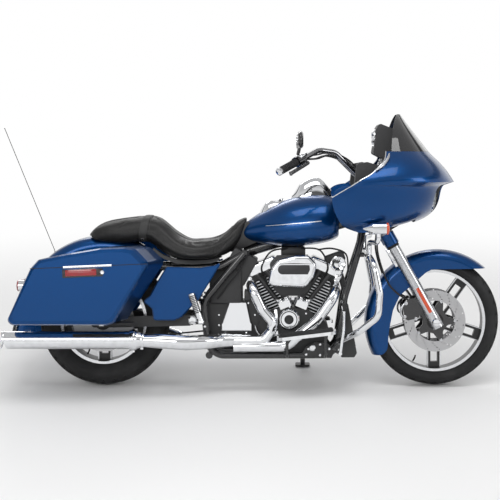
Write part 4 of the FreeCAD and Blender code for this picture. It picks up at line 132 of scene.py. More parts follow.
class CruiserSizes(bpy.types.PropertyGroup):
    """Sizes of the fine pieces."""

    tread_depth: FloatProperty(name="Tread depth", description="Depth of the tyres' grooves",
                               unit="LENGTH", default=0.0045, min=0.001, max=0.008)
    tread_pitches: IntProperty(name="Tread pitches", description="Tread blocks round a tyre",
                               default=34, min=12, max=60)
    bolt_radius: FloatProperty(name="Bolt head", description="Radius of a cover bolt's head",
                               unit="LENGTH", default=0.0065, min=0.002, max=0.02)
    seam_radius: FloatProperty(name="Seat piping", description="Radius of the seat's piping",
                               unit="LENGTH", default=0.0025, min=0.001, max=0.006)
    voxel: FloatProperty(name="Seat voxel", description="Mesh size for the seat's simulation",
                         unit="LENGTH", default=0.0075, min=0.004, max=0.012)


# Shader maths

class Value:
    """A shader socket that takes arithmetic, so that maths on it reads as an expression."""

    def __init__(self, tree, socket):
        self.tree = tree
        self.socket = socket

    def maths(self, operation, first, second):
        """One step of arithmetic."""
        return self.tree.node("Math", {"operation": operation}, {0: first, 1: second})

    def __add__(self, other):
        return self.maths("ADD", self, other)

    def __sub__(self, other):
        return self.maths("SUBTRACT", self, other)

    def __rsub__(self, other):
        return self.maths("SUBTRACT", other, self)

    def __mul__(self, other):
        return self.maths("MULTIPLY", self, other)

    def __truediv__(self, other):
        return self.maths("DIVIDE", self, other)

    def __pow__(self, other):
        return self.maths("POWER", self, other)

    def __abs__(self):
        return self.maths("ABSOLUTE", self, 0.0)

    __radd__ = __add__
    __rmul__ = __mul__


class Finish:
    """One material: its shader, and a method that makes any node that feeds it."""

    def __init__(self, name, colour, **sockets):
        self.material = bpy.data.materials.new(name)
        self.material.use_nodes = True
        self.tree = self.material.node_tree
        self.shader = self.tree.nodes["Principled BSDF"]
        self.feed("Base Color", colour)
        for socket, value in sockets.items():
            self.feed(socket.replace("_", " ").title().replace("Ior", "IOR"), value)

    def put(self, socket, value):
        """Links a value to a socket, or sets the socket to it."""
        if isinstance(value, Value):
            self.tree.links.new(value.socket, socket)
        elif socket.type == "RGBA" and len(value) == 3:
            socket.default_value = (*value, 1.0)
        else:
            socket.default_value = value

    def feed(self, socket, value):
        """Puts a value on one of the shader's own sockets."""
        self.put(self.shader.inputs[socket], value)
        return self

    def node(self, kind, settings=None, inputs=None, out=0):
        """Any shader node, with its settings and inputs, as the value of one output."""
        made = self.tree.nodes.new("ShaderNode" + kind)
        for key, value in (settings or {}).items():
            setattr(made, key, value)
        for key, value in (inputs or {}).items():
            self.put(made.inputs[key], value)
        return Value(self, made.outputs[out])

    def place(self):
        """Object coordinates."""
        return self.node("TexCoord", out="Object")

    def upright(self, centre=(0, 0, 0)):
        """Object coordinates on the upright machine, measured from a centre there."""
        shift = -(TILT.inverted() @ FOOT) - Vector(centre)
        return self.node("Mapping", None, {"Vector": self.place(), "Location": tuple(shift),
                                           "Rotation": (LEAN, 0, 0)})

    def parts(self, vector):
        """A vector's three numbers: ahead, across and up."""
        split = self.node("SeparateXYZ", None, {0: vector}).socket.node
        return [Value(self, split.outputs[i]) for i in range(3)]

    def face_way(self):
        """The surface's own direction on the upright machine, as three numbers."""
        turned = self.node("Mapping", {"vector_type": "NORMAL"},
                           {"Vector": self.node("TexCoord", out="Normal"), "Rotation": (LEAN, 0, 0)})
        return self.parts(turned)

    def noise(self, scale, detail=2.0, vector=None):
        """Soft noise, from 0 to 1."""
        return self.node("TexNoise", None, {"Vector": vector or self.place(), "Scale": scale,
                                            "Detail": detail})

    def cells(self, scale, feature="F1"):
        """Distances within a cell pattern."""
        return self.node("TexVoronoi", {"feature": feature}, {"Vector": self.place(), "Scale": scale})

    def step(self, value, low, high, start=0.0, end=1.0):
        """A soft step from start to end, as value goes from low to high."""
        return self.node("MapRange", {"interpolation_type": "SMOOTHSTEP"},
                         {0: value, 1: low, 2: high, 3: start, 4: end})

    def mix(self, mask, first, second):
        """The first colour where the mask is zero, the second where it is one."""
        return self.node("Mix", {"data_type": "RGBA"}, {0: mask, 6: first, 7: second}, out=2)

    def bump(self, height, distance, strength):
        """Lets a height tilt the surface's normals."""
        return self.feed("Normal", self.node("Bump", None, {
            "Height": height, "Distance": distance, "Strength": strength}))


def shade(colour, factor):
    """A colour made darker or lighter."""
    return tuple(channel * factor for channel in colour)


def paint(colours):
    """Deep metallic colour with fine flakes under a thick clear coat."""
    made = Finish("body_paint", colours.paint, metallic=0.78, roughness=0.3, coat_weight=0.75,
                  coat_roughness=0.02, coat_ior=1.34, specular_ior_level=0.15)
    flakes = made.cells(950.0)
    cloud = made.noise(3.0, 3.0)
    mask = made.step(flakes, 0.15, 0.55)
    base = made.mix(mask, tuple(colours.paint), tuple(colours.paint_shade))
    made.feed("Base Color", made.mix(cloud * 0.25, base, tuple(colours.paint_shade)))
    made.feed("Roughness", 0.27 + made.noise(60.0, 3.0) * 0.08)
    return made.bump(made.noise(420.0, 2.0), 0.00008, 0.25)


def chrome(name="chrome_plate", colour=(0.82, 0.83, 0.85), rough=0.035):
    """Bright plating with faint polishing marks."""
    made = Finish(name, colour, metallic=1.0)
    marks = made.noise(38.0, 4.0)
    made.feed("Roughness", rough + marks * rough)
    made.feed("Base Color", made.mix(made.step(marks, 0.3, 0.8), colour, shade(colour, 0.9)))
    return made.bump(made.noise(9.0, 2.0), 0.0004, 0.12)


def black_coat(name, colour, rough, grain=700.0, depth=0.00006, coat=0.0):
    """A black coating with fine texture and slight wear of its gloss."""
    made = Finish(name, colour, coat_weight=coat, coat_roughness=0.08)
    cloud = made.noise(14.0, 4.0)
    made.feed("Base Color", made.mix(cloud, colour, shade(colour, 1.7)))
    made.feed("Roughness", rough - 0.06 + cloud * 0.16)
    return made.bump(made.noise(grain, 3.0), depth, 0.6)


def casting(name, centre, ring_in, ring_out):
    """A black cast wheel, its outer ring and the outer edges of its blades cut bright."""
    black, bright = (0.012, 0.012, 0.013), (0.74, 0.75, 0.77)
    made = Finish(name, black)
    ahead, _, up = made.parts(made.upright(centre))
    reach = (ahead * ahead + up * up) ** 0.5
    facing = made.step(abs(made.face_way()[1]), 0.8, 0.93)
    pitch = math.tau / BLADE_PAIRS
    share = made.node("Math", {"operation": "ARCTAN2"}, {0: ahead, 1: 0 - up}) / pitch
    turned = abs(share - made.node("Math", {"operation": "ROUND"}, {0: share})) * pitch
    aside = reach * made.node("Math", {"operation": "SINE"}, {0: turned})
    edge = made.step(aside, 0.0282, 0.0286)
    ring = made.step(reach, ring_in, ring_in + 0.002) * made.step(reach, ring_out, ring_out + 0.002, 1, 0)
    cut = made.step(made.noise(90.0), 0.2, 0.9)
    mask = ring + facing * edge * (1 - ring)
    made.feed("Base Color", made.mix(mask, black, made.mix(cut * 0.3, bright, shade(bright, 0.75))))
    made.feed("Metallic", mask)
    made.feed("Roughness", 0.32 - mask * 0.12 + cut * 0.05)
    turning = made.node("TexWave", {"wave_type": "RINGS", "rings_direction": "Y"},
                        {"Vector": made.upright(centre), "Scale": 260.0, "Distortion": 0.4})
    return made.bump(turning * mask, 0.00006, 0.35)


def fins():
    """Black cylinders whose fin edges are cut bright."""
    black, bright = (0.014, 0.014, 0.015), (0.6, 0.61, 0.63)
    made = Finish("cylinder_fins", black)
    ahead, across, up = made.parts(made.upright(CRANK))
    aside = abs(ahead) * math.cos(VEE) - up * math.sin(VEE)
    away = made.node("Math", {"operation": "MAXIMUM"}, {0: abs(across), 1: abs(aside)})
    mask = made.step(away, 0.0695, 0.0715)
    made.feed("Base Color", made.mix(mask, black, bright))
    made.feed("Metallic", mask)
    made.feed("Roughness", 0.5 - mask * 0.2 + made.noise(120.0) * 0.1)
    return made.bump(made.noise(520.0, 3.0), 0.0001, 0.5)


def turned_steel(name, centre):
    """Steel with fine turning marks round an axle."""
    colour = (0.55, 0.55, 0.56)
    made = Finish(name, colour, metallic=1.0)
    ahead, _, up = made.parts(made.upright(centre))
    reach = (ahead * ahead + up * up) ** 0.5
    marks = made.noise(900.0, 2.0, made.node("CombineXYZ", None, {0: reach}))
    made.feed("Base Color", made.mix(marks, colour, shade(colour, 0.72)))
    made.feed("Roughness", 0.22 + marks * 0.16)
    return made.bump(marks, 0.00008, 0.5)


def aluminium():
    """Alloy polished by hand, softly clouded."""
    colour = (0.62, 0.63, 0.65)
    made = Finish("polished_alloy", colour, metallic=1.0)
    cloud = made.noise(24.0, 5.0)
    made.feed("Base Color", made.mix(cloud, colour, shade(colour, 0.82)))
    made.feed("Roughness", 0.2 + cloud * 0.14)
    return made.bump(made.noise(240.0, 3.0), 0.00012, 0.4)


def rubber(name, colour, rough=0.72, grain=420.0):
    """Matt rubber, a little dusty."""
    made = Finish(name, colour, specular_ior_level=0.35)
    dust = made.noise(7.0, 6.0)
    made.feed("Base Color", made.mix(made.step(dust, 0.45, 0.75), colour, shade(colour, 1.8)))
    made.feed("Roughness", rough + made.noise(30.0, 3.0) * 0.14)
    return made.bump(made.noise(grain, 4.0), 0.0002, 0.5)


def leather(colours):
    """Grained leather, shinier where it is sat on."""
    colour = tuple(colours.leather)
    made = Finish("seat_leather", colour, specular_ior_level=0.34)
    pebbles = made.cells(310.0, "SMOOTH_F1")
    folds = made.noise(46.0, 5.0)
    worn = made.step(made.noise(5.0, 2.0), 0.4, 0.65)
    made.feed("Base Color", made.mix(made.step(pebbles, 0.1, 0.6), shade(colour, 1.45), shade(colour, 0.8)))
    made.feed("Roughness", 0.38 + pebbles * 0.2 - worn * 0.1)
    return made.bump(folds * 0.6 - pebbles, 0.0009, 0.7)


def lens(name, colour):
    """Coloured lamp plastic with moulded ribs."""
    made = Finish(name, colour, roughness=0.09, coat_weight=0.8, coat_roughness=0.03, ior=1.5)
    made.feed("Base Color", made.mix(made.noise(160.0, 2.0), colour, shade(colour, 0.6)))
    made.feed("Roughness", 0.07 + made.noise(40.0) * 0.06)
    pattern = made.node("TexWave", {"bands_direction": "Z"}, {"Vector": made.upright(), "Scale": 45.0})
    return made.bump(pattern, 0.0006, 0.5)


def glass(name, colour, alpha):
    """Clear or smoked moulded glass."""
    made = Finish(name, colour, ior=1.49, coat_weight=1.0, coat_roughness=0.01)
    haze = made.noise(11.0, 3.0)
    made.feed("Roughness", 0.02 + haze * 0.03)
    made.feed("Base Color", made.mix(haze, colour, shade(colour, 1.6)))
    made.feed("Alpha", alpha)
    return made.bump(made.noise(4.0, 1.0), 0.0005, 0.08)


def dial():
    """A dark instrument face under clear plastic."""
    made = Finish("dial_face", (0.02, 0.02, 0.022), coat_weight=1.0, coat_roughness=0.02)
    made.feed("Base Color", made.mix(made.noise(90.0), (0.018, 0.018, 0.02), (0.03, 0.03, 0.034)))
    made.feed("Roughness", 0.35 + made.noise(30.0) * 0.1)
    return made


FINISHES = {}


def make_finishes(colours):
    """Every finish, by the name the pieces use."""
    black_plastic = (0.022, 0.022, 0.023)
    FINISHES.update({
        "paint": paint(colours),
        "chrome": chrome(),
        # Chrome whose colour is painted darker: painted shade standing in for the dark reflections of a
        # studio.
        "shade_painted_chrome": chrome("shade_painted_chrome", (0.34, 0.34, 0.35), 0.06),
        "satin_black": black_coat("satin_black", (0.016, 0.016, 0.017), 0.42),
        "gloss_black": black_coat("gloss_black", (0.01, 0.01, 0.011), 0.2, 300.0, 0.00003, 0.6),
        "wrinkle_black": black_coat("wrinkle_black", (0.018, 0.018, 0.019), 0.5, 480.0, 0.0005),
        "black_plastic": black_coat("black_plastic", black_plastic, 0.5, 900.0, 0.00012),
        "rear_casting": casting("rear_wheel_casting", REAR_AXLE, 0.2, 0.216),
        "front_casting": casting("front_wheel_casting", FRONT_AXLE, 0.236, 0.252),
        "fins": fins(),
        "disc": turned_steel("disc_steel", FRONT_AXLE),
        "rear_disc": turned_steel("rear_disc_steel", REAR_AXLE),
        "aluminium": aluminium(),
        "tyre": rubber("tyre_rubber", (0.014, 0.014, 0.0145)),
        "rubber": rubber("black_rubber", (0.017, 0.017, 0.018), 0.62, 700.0),
        "leather": leather(colours),
        "piping": rubber("seat_piping", (0.034, 0.034, 0.034), 0.5, 900.0),
        "thread": rubber("seat_thread", (0.055, 0.055, 0.057), 0.6, 1400.0),
        "red_lens": lens("red_lens", tuple(colours.red_lens)),
        "orange_lens": lens("orange_lens", tuple(colours.orange_lens)),
        "screen": glass("smoked_screen", (0.012, 0.012, 0.013), 0.9),
        "lamp_glass": glass("lamp_glass", (0.75, 0.8, 0.84), 0.22),
        "dial": dial(),
        "white_mark": black_coat("dial_marks", (0.75, 0.75, 0.75), 0.5),
        "soot": rubber("pipe_soot", (0.012, 0.011, 0.01), 0.85, 260.0),
        "plate": black_coat("plate_face", (0.7, 0.7, 0.68), 0.42),
    })


SLOT_OF = {
    "paint": "paint", "chrome": "chrome", "shade_painted_chrome": "chrome", "satin_black": "satin_black",
    "gloss_black": "satin_black", "wrinkle_black": "satin_black", "black_plastic": "black_plastic",
    "fins": "satin_black", "disc": "steel", "rear_disc": "steel", "aluminium": "polished_aluminium",
    "tyre": "tyre_rubber", "rubber": "black_rubber", "leather": "leather", "piping": "leather",
    "thread": "leather", "screen": "smoked_screen", "lamp_glass": "lamp_glass", "soot": "satin_black",
    "rear_casting": "satin_black", "front_casting": "satin_black",
}


# Making pieces

def dress(finish, *nodes):
    """Gives CAD nodes a finish."""
    for name in nodes:
        slots = frame["nodes"][name].data.materials
        slots.clear()
        slots.append(FINISHES[finish].material)


def side_ways(axis):
    """Two directions square to an axis and to each other."""
    first = axis.cross(Z if abs(axis.normalized().z) < 0.9 else X).normalized()
    return first, axis.cross(first).normalized()


def smooth_path(points, steps=6):
    """More points along a soft curve through the given ones."""
    made = []
    for i in range(len(points) - 1):
        before = points[max(i - 1, 0)]
        start, end = points[i], points[i + 1]
        after = points[min(i + 2, len(points) - 1)]
        for k in range(steps):
            t = k / steps
            made.append(0.5 * (2 * start + (end - before) * t
                               + (2 * before - 5 * start + 4 * end - after) * t ** 2
                               + (3 * start - before - 3 * end + after) * t ** 3))
    return made + [points[-1]]


class Shape:
    """Collects closed forms drawn on the upright machine, then becomes one piece of it."""

    def __init__(self):
        self.mesh = bmesh.new()

    def skin(self, rows, around=True, closed=False):
        """Skins a run of rows of points, each row a ring unless around is false."""
        made = [[self.mesh.verts.new(p) for p in row] for row in rows]
        count = len(made[0])
        pairs = list(zip(made, made[1:])) + ([(made[-1], made[0])] if closed else [])
        for low, high in pairs:
            for i in range(count if around else count - 1):
                j = (i + 1) % count
                self.mesh.faces.new((low[i], low[j], high[j], high[i]))
        if around and not closed:
            self.mesh.faces.new(made[0][::-1])
            self.mesh.faces.new(made[-1])
        return self

    def lathe(self, centre, axis, profile, sides=48, closed=False):
        """Turns a profile of (along, radius) pairs round an axis."""
        first, second = side_ways(axis)
        axis = axis.normalized()
        rows = []
        for along, radius in profile:
            rows.append([centre + axis * along
                         + (first * math.cos(k * math.tau / sides)
                            + second * math.sin(k * math.tau / sides)) * max(radius, 1e-5)
                         for k in range(sides)])
        return self.skin(rows, closed=closed)

    def tube(self, points, radius, sides=12, steps=6):
        """A round tube along a soft curve; radius may be one value for each given point."""
        path = smooth_path(points, steps)
        given = radius if isinstance(radius, (list, tuple)) else [radius] * len(points)
        way = (path[1] - path[0]).normalized()
        aside = side_ways(way)[0]
        rows = []
        for i, point in enumerate(path):
            ahead = (path[min(i + 1, len(path) - 1)] - path[max(i - 1, 0)]).normalized()
            aside = (aside - ahead * aside.dot(ahead)).normalized()
            other = ahead.cross(aside)
            share = i / steps
            low = min(int(share), len(given) - 1)
            high = min(low + 1, len(given) - 1)
            reach = given[low] + (given[high] - given[low]) * (share - low)
            rows.append([point + (aside * math.cos(k * math.tau / sides)
                                  + other * math.sin(k * math.tau / sides)) * reach
                         for k in range(sides)])
        return self.skin(rows)

    def soften(self, edges, reach, steps=2):
        """Rounds edges by a reach."""
        bmesh.ops.bevel(self.mesh, geom=edges, offset=reach, segments=steps, profile=0.5,
                        affect="EDGES", clamp_overlap=True)

    def box(self, centre, size, turn=None, edge=0.0, steps=2):
        """A block with softened edges, turned by a matrix about its centre."""
        place = Matrix.Translation(centre) @ (turn or Matrix.Identity(4)) @ Matrix.Diagonal((*size, 1))
        made = bmesh.ops.create_cube(self.mesh, size=1.0, matrix=place)
        if edge:
            self.soften(list({e for v in made["verts"] for e in v.link_edges}), edge, steps)
        return self

    def slab(self, points, depth, edge=0.0):
        """A flat outline given a thickness along a vector, its far rim softened."""
        low = [self.mesh.verts.new(p) for p in points]
        high = [self.mesh.verts.new(p + depth) for p in points]
        self.mesh.faces.new(low[::-1])
        self.mesh.faces.new(high)
        for i in range(len(points)):
            j = (i + 1) % len(points)
            self.mesh.faces.new((low[i], low[j], high[j], high[i]))
        if edge:
            rim = [e for e in self.mesh.edges if e.verts[0] in high and e.verts[1] in high]
            self.soften(rim, edge)
        return self

    def copy_mesh(self, mesh, place):
        """Adds another mesh, put in place by a matrix."""
        moved = mesh.copy()
        moved.transform(place)
        self.mesh.from_mesh(moved)
        bpy.data.meshes.remove(moved)
        return self

    def object(self, name, finish, sharp=35.0, parked=True):
        """The collected forms as one object at the origin."""
        bmesh.ops.remove_doubles(self.mesh, verts=self.mesh.verts, dist=2e-6)
        bmesh.ops.dissolve_degenerate(self.mesh, edges=self.mesh.edges, dist=1e-6)
        bmesh.ops.recalc_face_normals(self.mesh, faces=self.mesh.faces)
        data = bpy.data.meshes.new(name)
        self.mesh.to_mesh(data)
        self.mesh.free()
        if parked:
            data.transform(PARKED)
        return self.dressed(name, data, finish, sharp)

    @staticmethod
    def dressed(name, data, finish, sharp=35.0):
        """A mesh as an object with one finish, its edges sharp above an angle in degrees."""
        data.materials.clear()
        data.materials.append(FINISHES[finish].material)
        data.shade_smooth()
        data.set_sharp_from_angle(angle=math.radians(sharp))
        made = bpy.data.objects.new(name, data)
        bpy.context.scene.collection.objects.link(made)
        return made

    def piece(self, name, finish, body="chassis", replaces=(), sharp=35.0):
        """The collected forms as a piece that rides on a body."""
        made = self.object(name, finish, sharp)
        return settle(made, finish, body, replaces)


def final_mesh(made):
    """The mesh that an object's modifiers make, as data of its own."""
    bpy.context.view_layer.update()
    return bpy.data.meshes.new_from_object(
        made.evaluated_get(bpy.context.evaluated_depsgraph_get()))


def settle(made, finish, body="chassis", replaces=()):
    """Hangs a piece on its body, and hides the nodes that it stands for."""
    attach(made, body)
    finish in SLOT_OF
    if replaces:
        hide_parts(*replaces)
    return made


def punched(outline, holes, depth):
    """A flat plate with holes, in its own plane and centred on it, as a mesh."""
    data = bpy.data.curves.new("punched", "CURVE")
    data.dimensions = "2D"
    data.fill_mode = "BOTH"
    data.extrude = depth / 2
    for loop in [outline] + holes:
        line = data.splines.new("POLY")
        line.points.add(len(loop) - 1)
        for point, (a, b) in zip(line.points, loop):
            point.co = (a, b, 0, 1)
        line.use_cyclic_u = True
    holder = bpy.data.objects.new("punched", data)
    bpy.context.scene.collection.objects.link(holder)
    mesh = final_mesh(holder)
    bpy.data.objects.remove(holder)
    bpy.data.curves.remove(data)
    return mesh


def circle(radius, count, middle=(0.0, 0.0), start=0.0):
    """Points round a flat circle."""
    return [(middle[0] + radius * math.cos(start + k * math.tau / count),
             middle[1] + radius * math.sin(start + k * math.tau / count)) for k in range(count)]


def round_spots(centre, radius, count, aim, start=0.0):
    """Spots round a centre on a side face, for on_spots, all with one aim."""
    return [(at(x, centre.y, z), aim) for x, z in circle(radius, count, (centre.x, centre.z), start)]


# Geometry node trees for what repeats

def tree_with(name, sockets):
    """An empty geometry tree with its named inputs."""
    tree = bpy.data.node_groups.new(name, "GeometryNodeTree")
    for title, kind in sockets:
        tree.interface.new_socket(title, in_out="INPUT", socket_type="NodeSocket" + kind)
    tree.interface.new_socket("Geometry", in_out="OUTPUT", socket_type="NodeSocketGeometry")
    return tree, tree.nodes.new("NodeGroupInput"), tree.nodes.new("NodeGroupOutput")


def add_node(tree, kind, settings=None, **links):
    """A node with its settings, and links or values on its named sockets."""
    made = tree.nodes.new(kind)
    for key, value in (settings or {}).items():
        setattr(made, key, value)
    for title, value in links.items():
        socket = made.inputs[title.replace("_", " ")]
        if isinstance(value, bpy.types.NodeSocket):
            tree.links.new(value, socket)
        else:
            socket.default_value = value
    return made


def turned_copies_tree():
    """Copies a shape round a centre, along a step, or both."""
    tree, given, result = tree_with("turned_copies", [
        ("Geometry", "Geometry"), ("Count", "Int"), ("Centre", "Vector"), ("Axis", "Vector"),
        ("Turn", "Float"), ("Step", "Vector"), ("Material", "Material")])
    line = add_node(tree, "GeometryNodeMeshLine", Count=given.outputs["Count"],
                    Start_Location=given.outputs["Centre"], Offset=given.outputs["Step"])
    index = tree.nodes.new("GeometryNodeInputIndex")
    angle = add_node(tree, "ShaderNodeMath", {"operation": "MULTIPLY"})
    tree.links.new(index.outputs[0], angle.inputs[0])
    tree.links.new(given.outputs["Turn"], angle.inputs[1])
    turn = add_node(tree, "FunctionNodeAxisAngleToRotation", Axis=given.outputs["Axis"],
                    Angle=angle.outputs[0])
    back = add_node(tree, "ShaderNodeVectorMath", {"operation": "SCALE"})
    tree.links.new(given.outputs["Centre"], back.inputs[0])
    back.inputs["Scale"].default_value = -1.0
    unit = add_node(tree, "GeometryNodeTransform", Geometry=given.outputs["Geometry"],
                    Translation=back.outputs[0])
    copies = add_node(tree, "GeometryNodeInstanceOnPoints", Points=line.outputs[0],
                      Instance=unit.outputs[0], Rotation=turn.outputs[0])
    real = add_node(tree, "GeometryNodeRealizeInstances", Geometry=copies.outputs[0])
    dressed = add_node(tree, "GeometryNodeSetMaterial", Geometry=real.outputs[0],
                       Material=given.outputs["Material"])
    tree.links.new(dressed.outputs[0], result.inputs[0])
    return tree


def spots_tree():
    """Puts a small shape on each point, its own upward way along the point's aim."""
    tree, given, result = tree_with("on_spots", [
        ("Geometry", "Geometry"), ("Shape", "Object"), ("Material", "Material")])
    shape = add_node(tree, "GeometryNodeObjectInfo", Object=given.outputs["Shape"])
    aim = add_node(tree, "GeometryNodeInputNamedAttribute", {"data_type": "FLOAT_VECTOR"}, Name="aim")
    turn = add_node(tree, "FunctionNodeAlignRotationToVector", {"axis": "Z"}, Vector=aim.outputs[0])
    copies = add_node(tree, "GeometryNodeInstanceOnPoints", Points=given.outputs["Geometry"],
                      Instance=shape.outputs["Geometry"], Rotation=turn.outputs[0])
    real = add_node(tree, "GeometryNodeRealizeInstances", Geometry=copies.outputs[0])
    dressed = add_node(tree, "GeometryNodeSetMaterial", Geometry=real.outputs[0],
                       Material=given.outputs["Material"])
    tree.links.new(dressed.outputs[0], result.inputs[0])
    return tree


TREES = {}


def through_tree(holder, tree, name, finish, values):
    """The plain mesh that a geometry tree makes of an object, as a new object."""
    if tree not in TREES:
        TREES[tree] = {"turned_copies": turned_copies_tree, "on_spots": spots_tree}[tree]()
    modifier = holder.modifiers.new(tree, "NODES")
    modifier.node_group = TREES[tree]
    values = dict(values, Material=FINISHES[finish].material)
    for item in TREES[tree].interface.items_tree:
        if item.in_out == "INPUT" and item.name in values:
            modifier[item.identifier] = values[item.name]
    mesh = final_mesh(holder)
    bpy.data.objects.remove(holder)
    mesh.name = name
    return Shape.dressed(name, mesh, finish)


def copies(shape, name, finish, count, centre=(0, 0, 0), axis=Y, turn=0.0, step=(0, 0, 0),
           body="chassis"):
    """A piece made of turned or stepped copies of a shape drawn on the upright machine."""
    holder = shape.object(name + "_unit", finish, parked=False)
    values = {"Count": count, "Centre": tuple(centre), "Axis": tuple(axis), "Turn": turn,
              "Step": tuple(step)}
    made = through_tree(holder, "turned_copies", name, finish, values)
    made.data.transform(PARKED)
    return settle(made, finish, body)


def on_spots(unit, name, finish, spots, body="chassis"):
    """A piece made of a small shape set on each (point, aim) pair of the upright machine."""
    shape = unit.object(name + "_unit", finish, parked=False)
    data = bpy.data.meshes.new(name + "_spots")
    data.from_pydata([tuple(point) for point, aim in spots], [], [])
    aims = data.attributes.new("aim", "FLOAT_VECTOR", "POINT")
    aims.data.foreach_set("vector", [c for point, aim in spots for c in Vector(aim).normalized()])
    holder = bpy.data.objects.new(name + "_holder", data)
    bpy.context.scene.collection.objects.link(holder)
    made = through_tree(holder, "on_spots", name, finish, {"Shape": shape})
    bpy.data.objects.remove(shape)
    made.data.transform(PARKED)
    return settle(made, finish, body)


def bolt_head(radius, tall=0.6):
    """A domed bolt head with a sunk hexagon, standing on its own origin."""
    unit = Shape()
    height = radius * tall
    unit.lathe(Vector(), Z, [(-height * 0.2, 0), (-height * 0.2, radius), (height * 0.55, radius),
                             (height, radius * 0.72), (height, radius * 0.45),
                             (height * 0.35, radius * 0.42), (height * 0.35, 0)], 12)
    return unit


# Wheels and brakes

def tyre_form(axle, outer, width, crown, bead, bead_width, depth):
    """A tyre's carcass: beads, bulged walls with raised bands, and the floor of its tread."""
    half = width / 2
    shoulder = math.asin(min(0.999, (half - 0.002) / crown)) if crown > half else 1.2
    edge = shoulder * 0.72
    floor = outer - crown
    wall_top = floor + crown * math.cos(shoulder)
    side = []
    for k in range(9):
        share = k / 8
        drop = bead + (wall_top - bead) * share
        bulge = bead_width / 2 + (half - 0.002 - bead_width / 2) * math.sin(share * math.pi / 2)
        band = 0.0012 if k in (3, 6) else 0.0
        side.append((bulge + band, drop))
    crown_part = []
    for k in range(1, 25):
        angle = shoulder * (1 - k / 24)
        sunk = depth * min(1.0, max(0.0, (edge - angle) / (edge * 0.12)))
        crown_part.append(((crown - sunk) * math.sin(angle), floor + (crown - sunk) * math.cos(angle)))
    right = side + crown_part
    left = [(-a, b) for a, b in right[-2::-1]]
    inside = [(-bead_width / 2 + 0.01, bead + 0.004), (bead_width / 2 - 0.01, bead + 0.004)]
    return Shape().lathe(axle, Y, right + left + inside, 128, closed=True), edge


def tread_block(axle, outer, crown, depth, angles, turns, slant):
    """One raised block of tread between two crown angles and two angles round the wheel."""
    steps = 4
    tops, floors = [], []
    for i in range(steps + 1):
        angle = angles[0] + (angles[1] - angles[0]) * i / steps
        top_row, floor_row = [], []
        for k in range(3):
            turn = turns[0] + (turns[1] - turns[0]) * k / 2 + slant * i / steps
            way = X * math.sin(turn) + Z * math.cos(turn)
            for row, reach in ((top_row, crown), (floor_row, crown - depth * 1.2)):
                row.append(axle + Y * (reach * math.sin(angle))
                           + way * (outer - crown + reach * math.cos(angle)))
        tops.append(top_row)
        floors.append(floor_row)
    return tops, floors


def add_block(shape, tops, floors):
    """Closes a block's top, floor and sides."""
    mesh = shape.mesh
    top = [[mesh.verts.new(p) for p in row] for row in tops]
    low = [[mesh.verts.new(p) for p in row] for row in floors]
    wide, tall = len(top), len(top[0])
    for i in range(wide - 1):
        for k in range(tall - 1):
            mesh.faces.new((top[i][k], top[i + 1][k], top[i + 1][k + 1], top[i][k + 1]))
            mesh.faces.new((low[i][k], low[i][k + 1], low[i + 1][k + 1], low[i + 1][k]))
    ring = [(i, 0) for i in range(wide)] + [(wide - 1, k) for k in range(1, tall)]
    ring += [(i, tall - 1) for i in range(wide - 2, -1, -1)] + [(0, k) for k in range(tall - 2, 0, -1)]
    for (a, b), (c, d) in zip(ring, ring[1:] + ring[:1]):
        mesh.faces.new((low[a][b], low[c][d], top[c][d], top[a][b]))


class CRUISER_OT_tyres(bpy.types.Operator):
    """Tyres with raised tread blocks, in place of the plain ones"""

    bl_idname = "cruiser.tyres"
    bl_label = "Tyres"

    def execute(self, context):
        sizes = context.scene.cruiser_sizes
        depth, count = sizes.tread_depth, sizes.tread_pitches
        wheels = (("rear", REAR_AXLE, 0.32, 0.18, 0.1, 0.213, 0.124),
                  ("front", FRONT_AXLE, 0.319, 0.13, 0.074, 0.25, 0.088))
        for word, axle, outer, width, crown, bead, bead_width in wheels:
            body = word + "_wheel"
            carcass, edge = tyre_form(axle, outer, width, crown, bead, bead_width, depth)
            carcass.piece(word + "_tyre_carcass", "tyre", body, [word + "_tyre"], 50)
            pitch = math.tau / count
            unit = Shape()
            for side in SIDES:
                late = pitch / 2 if side > 0 else 0.0
                rows = ((0.04, 0.3, 0.8, 0.35), (0.38, 0.66, 0.8, 0.3), (0.73, 0.99, 0.72, 0.12))
                for low, high, wide, slant in rows:
                    add_block(unit, *tread_block(axle, outer, crown, depth,
                                                 (side * edge * low, side * edge * high),
                                                 (late, late + pitch * wide), pitch * slant))
            copies(unit, word + "_tread_blocks", "tyre", count, axle, Y, pitch, body=body)
        return {"FINISHED"}


def rotor_holes(rows, inner, outer, lean, radius):
    """Drill holes in slanted rows round a disc."""
    holes = []
    for row in range(rows):
        for k in range(4):
            reach = inner + (outer - inner) * k / 3
            turn = row * math.tau / rows + k * lean
            holes.append(circle(radius, 10, (reach * math.cos(turn), reach * math.sin(turn))))
    return holes


def star(arms, low, high, sharp):
    """A flat outline whose radius swells at each arm."""
    count = 120
    spots = []
    for k in range(count):
        turn = k * math.tau / count
        reach = low + (high - low) * (0.5 + 0.5 * math.cos(turn * arms)) ** sharp
        spots.append((reach * math.cos(turn), reach * math.sin(turn)))
    return spots


def wheel_plane(axle, across):
    """Places a flat plate square to the axle, at a distance across."""
    return Matrix.Translation(axle + Y * across) @ Matrix.Rotation(math.pi / 2, 4, "X")


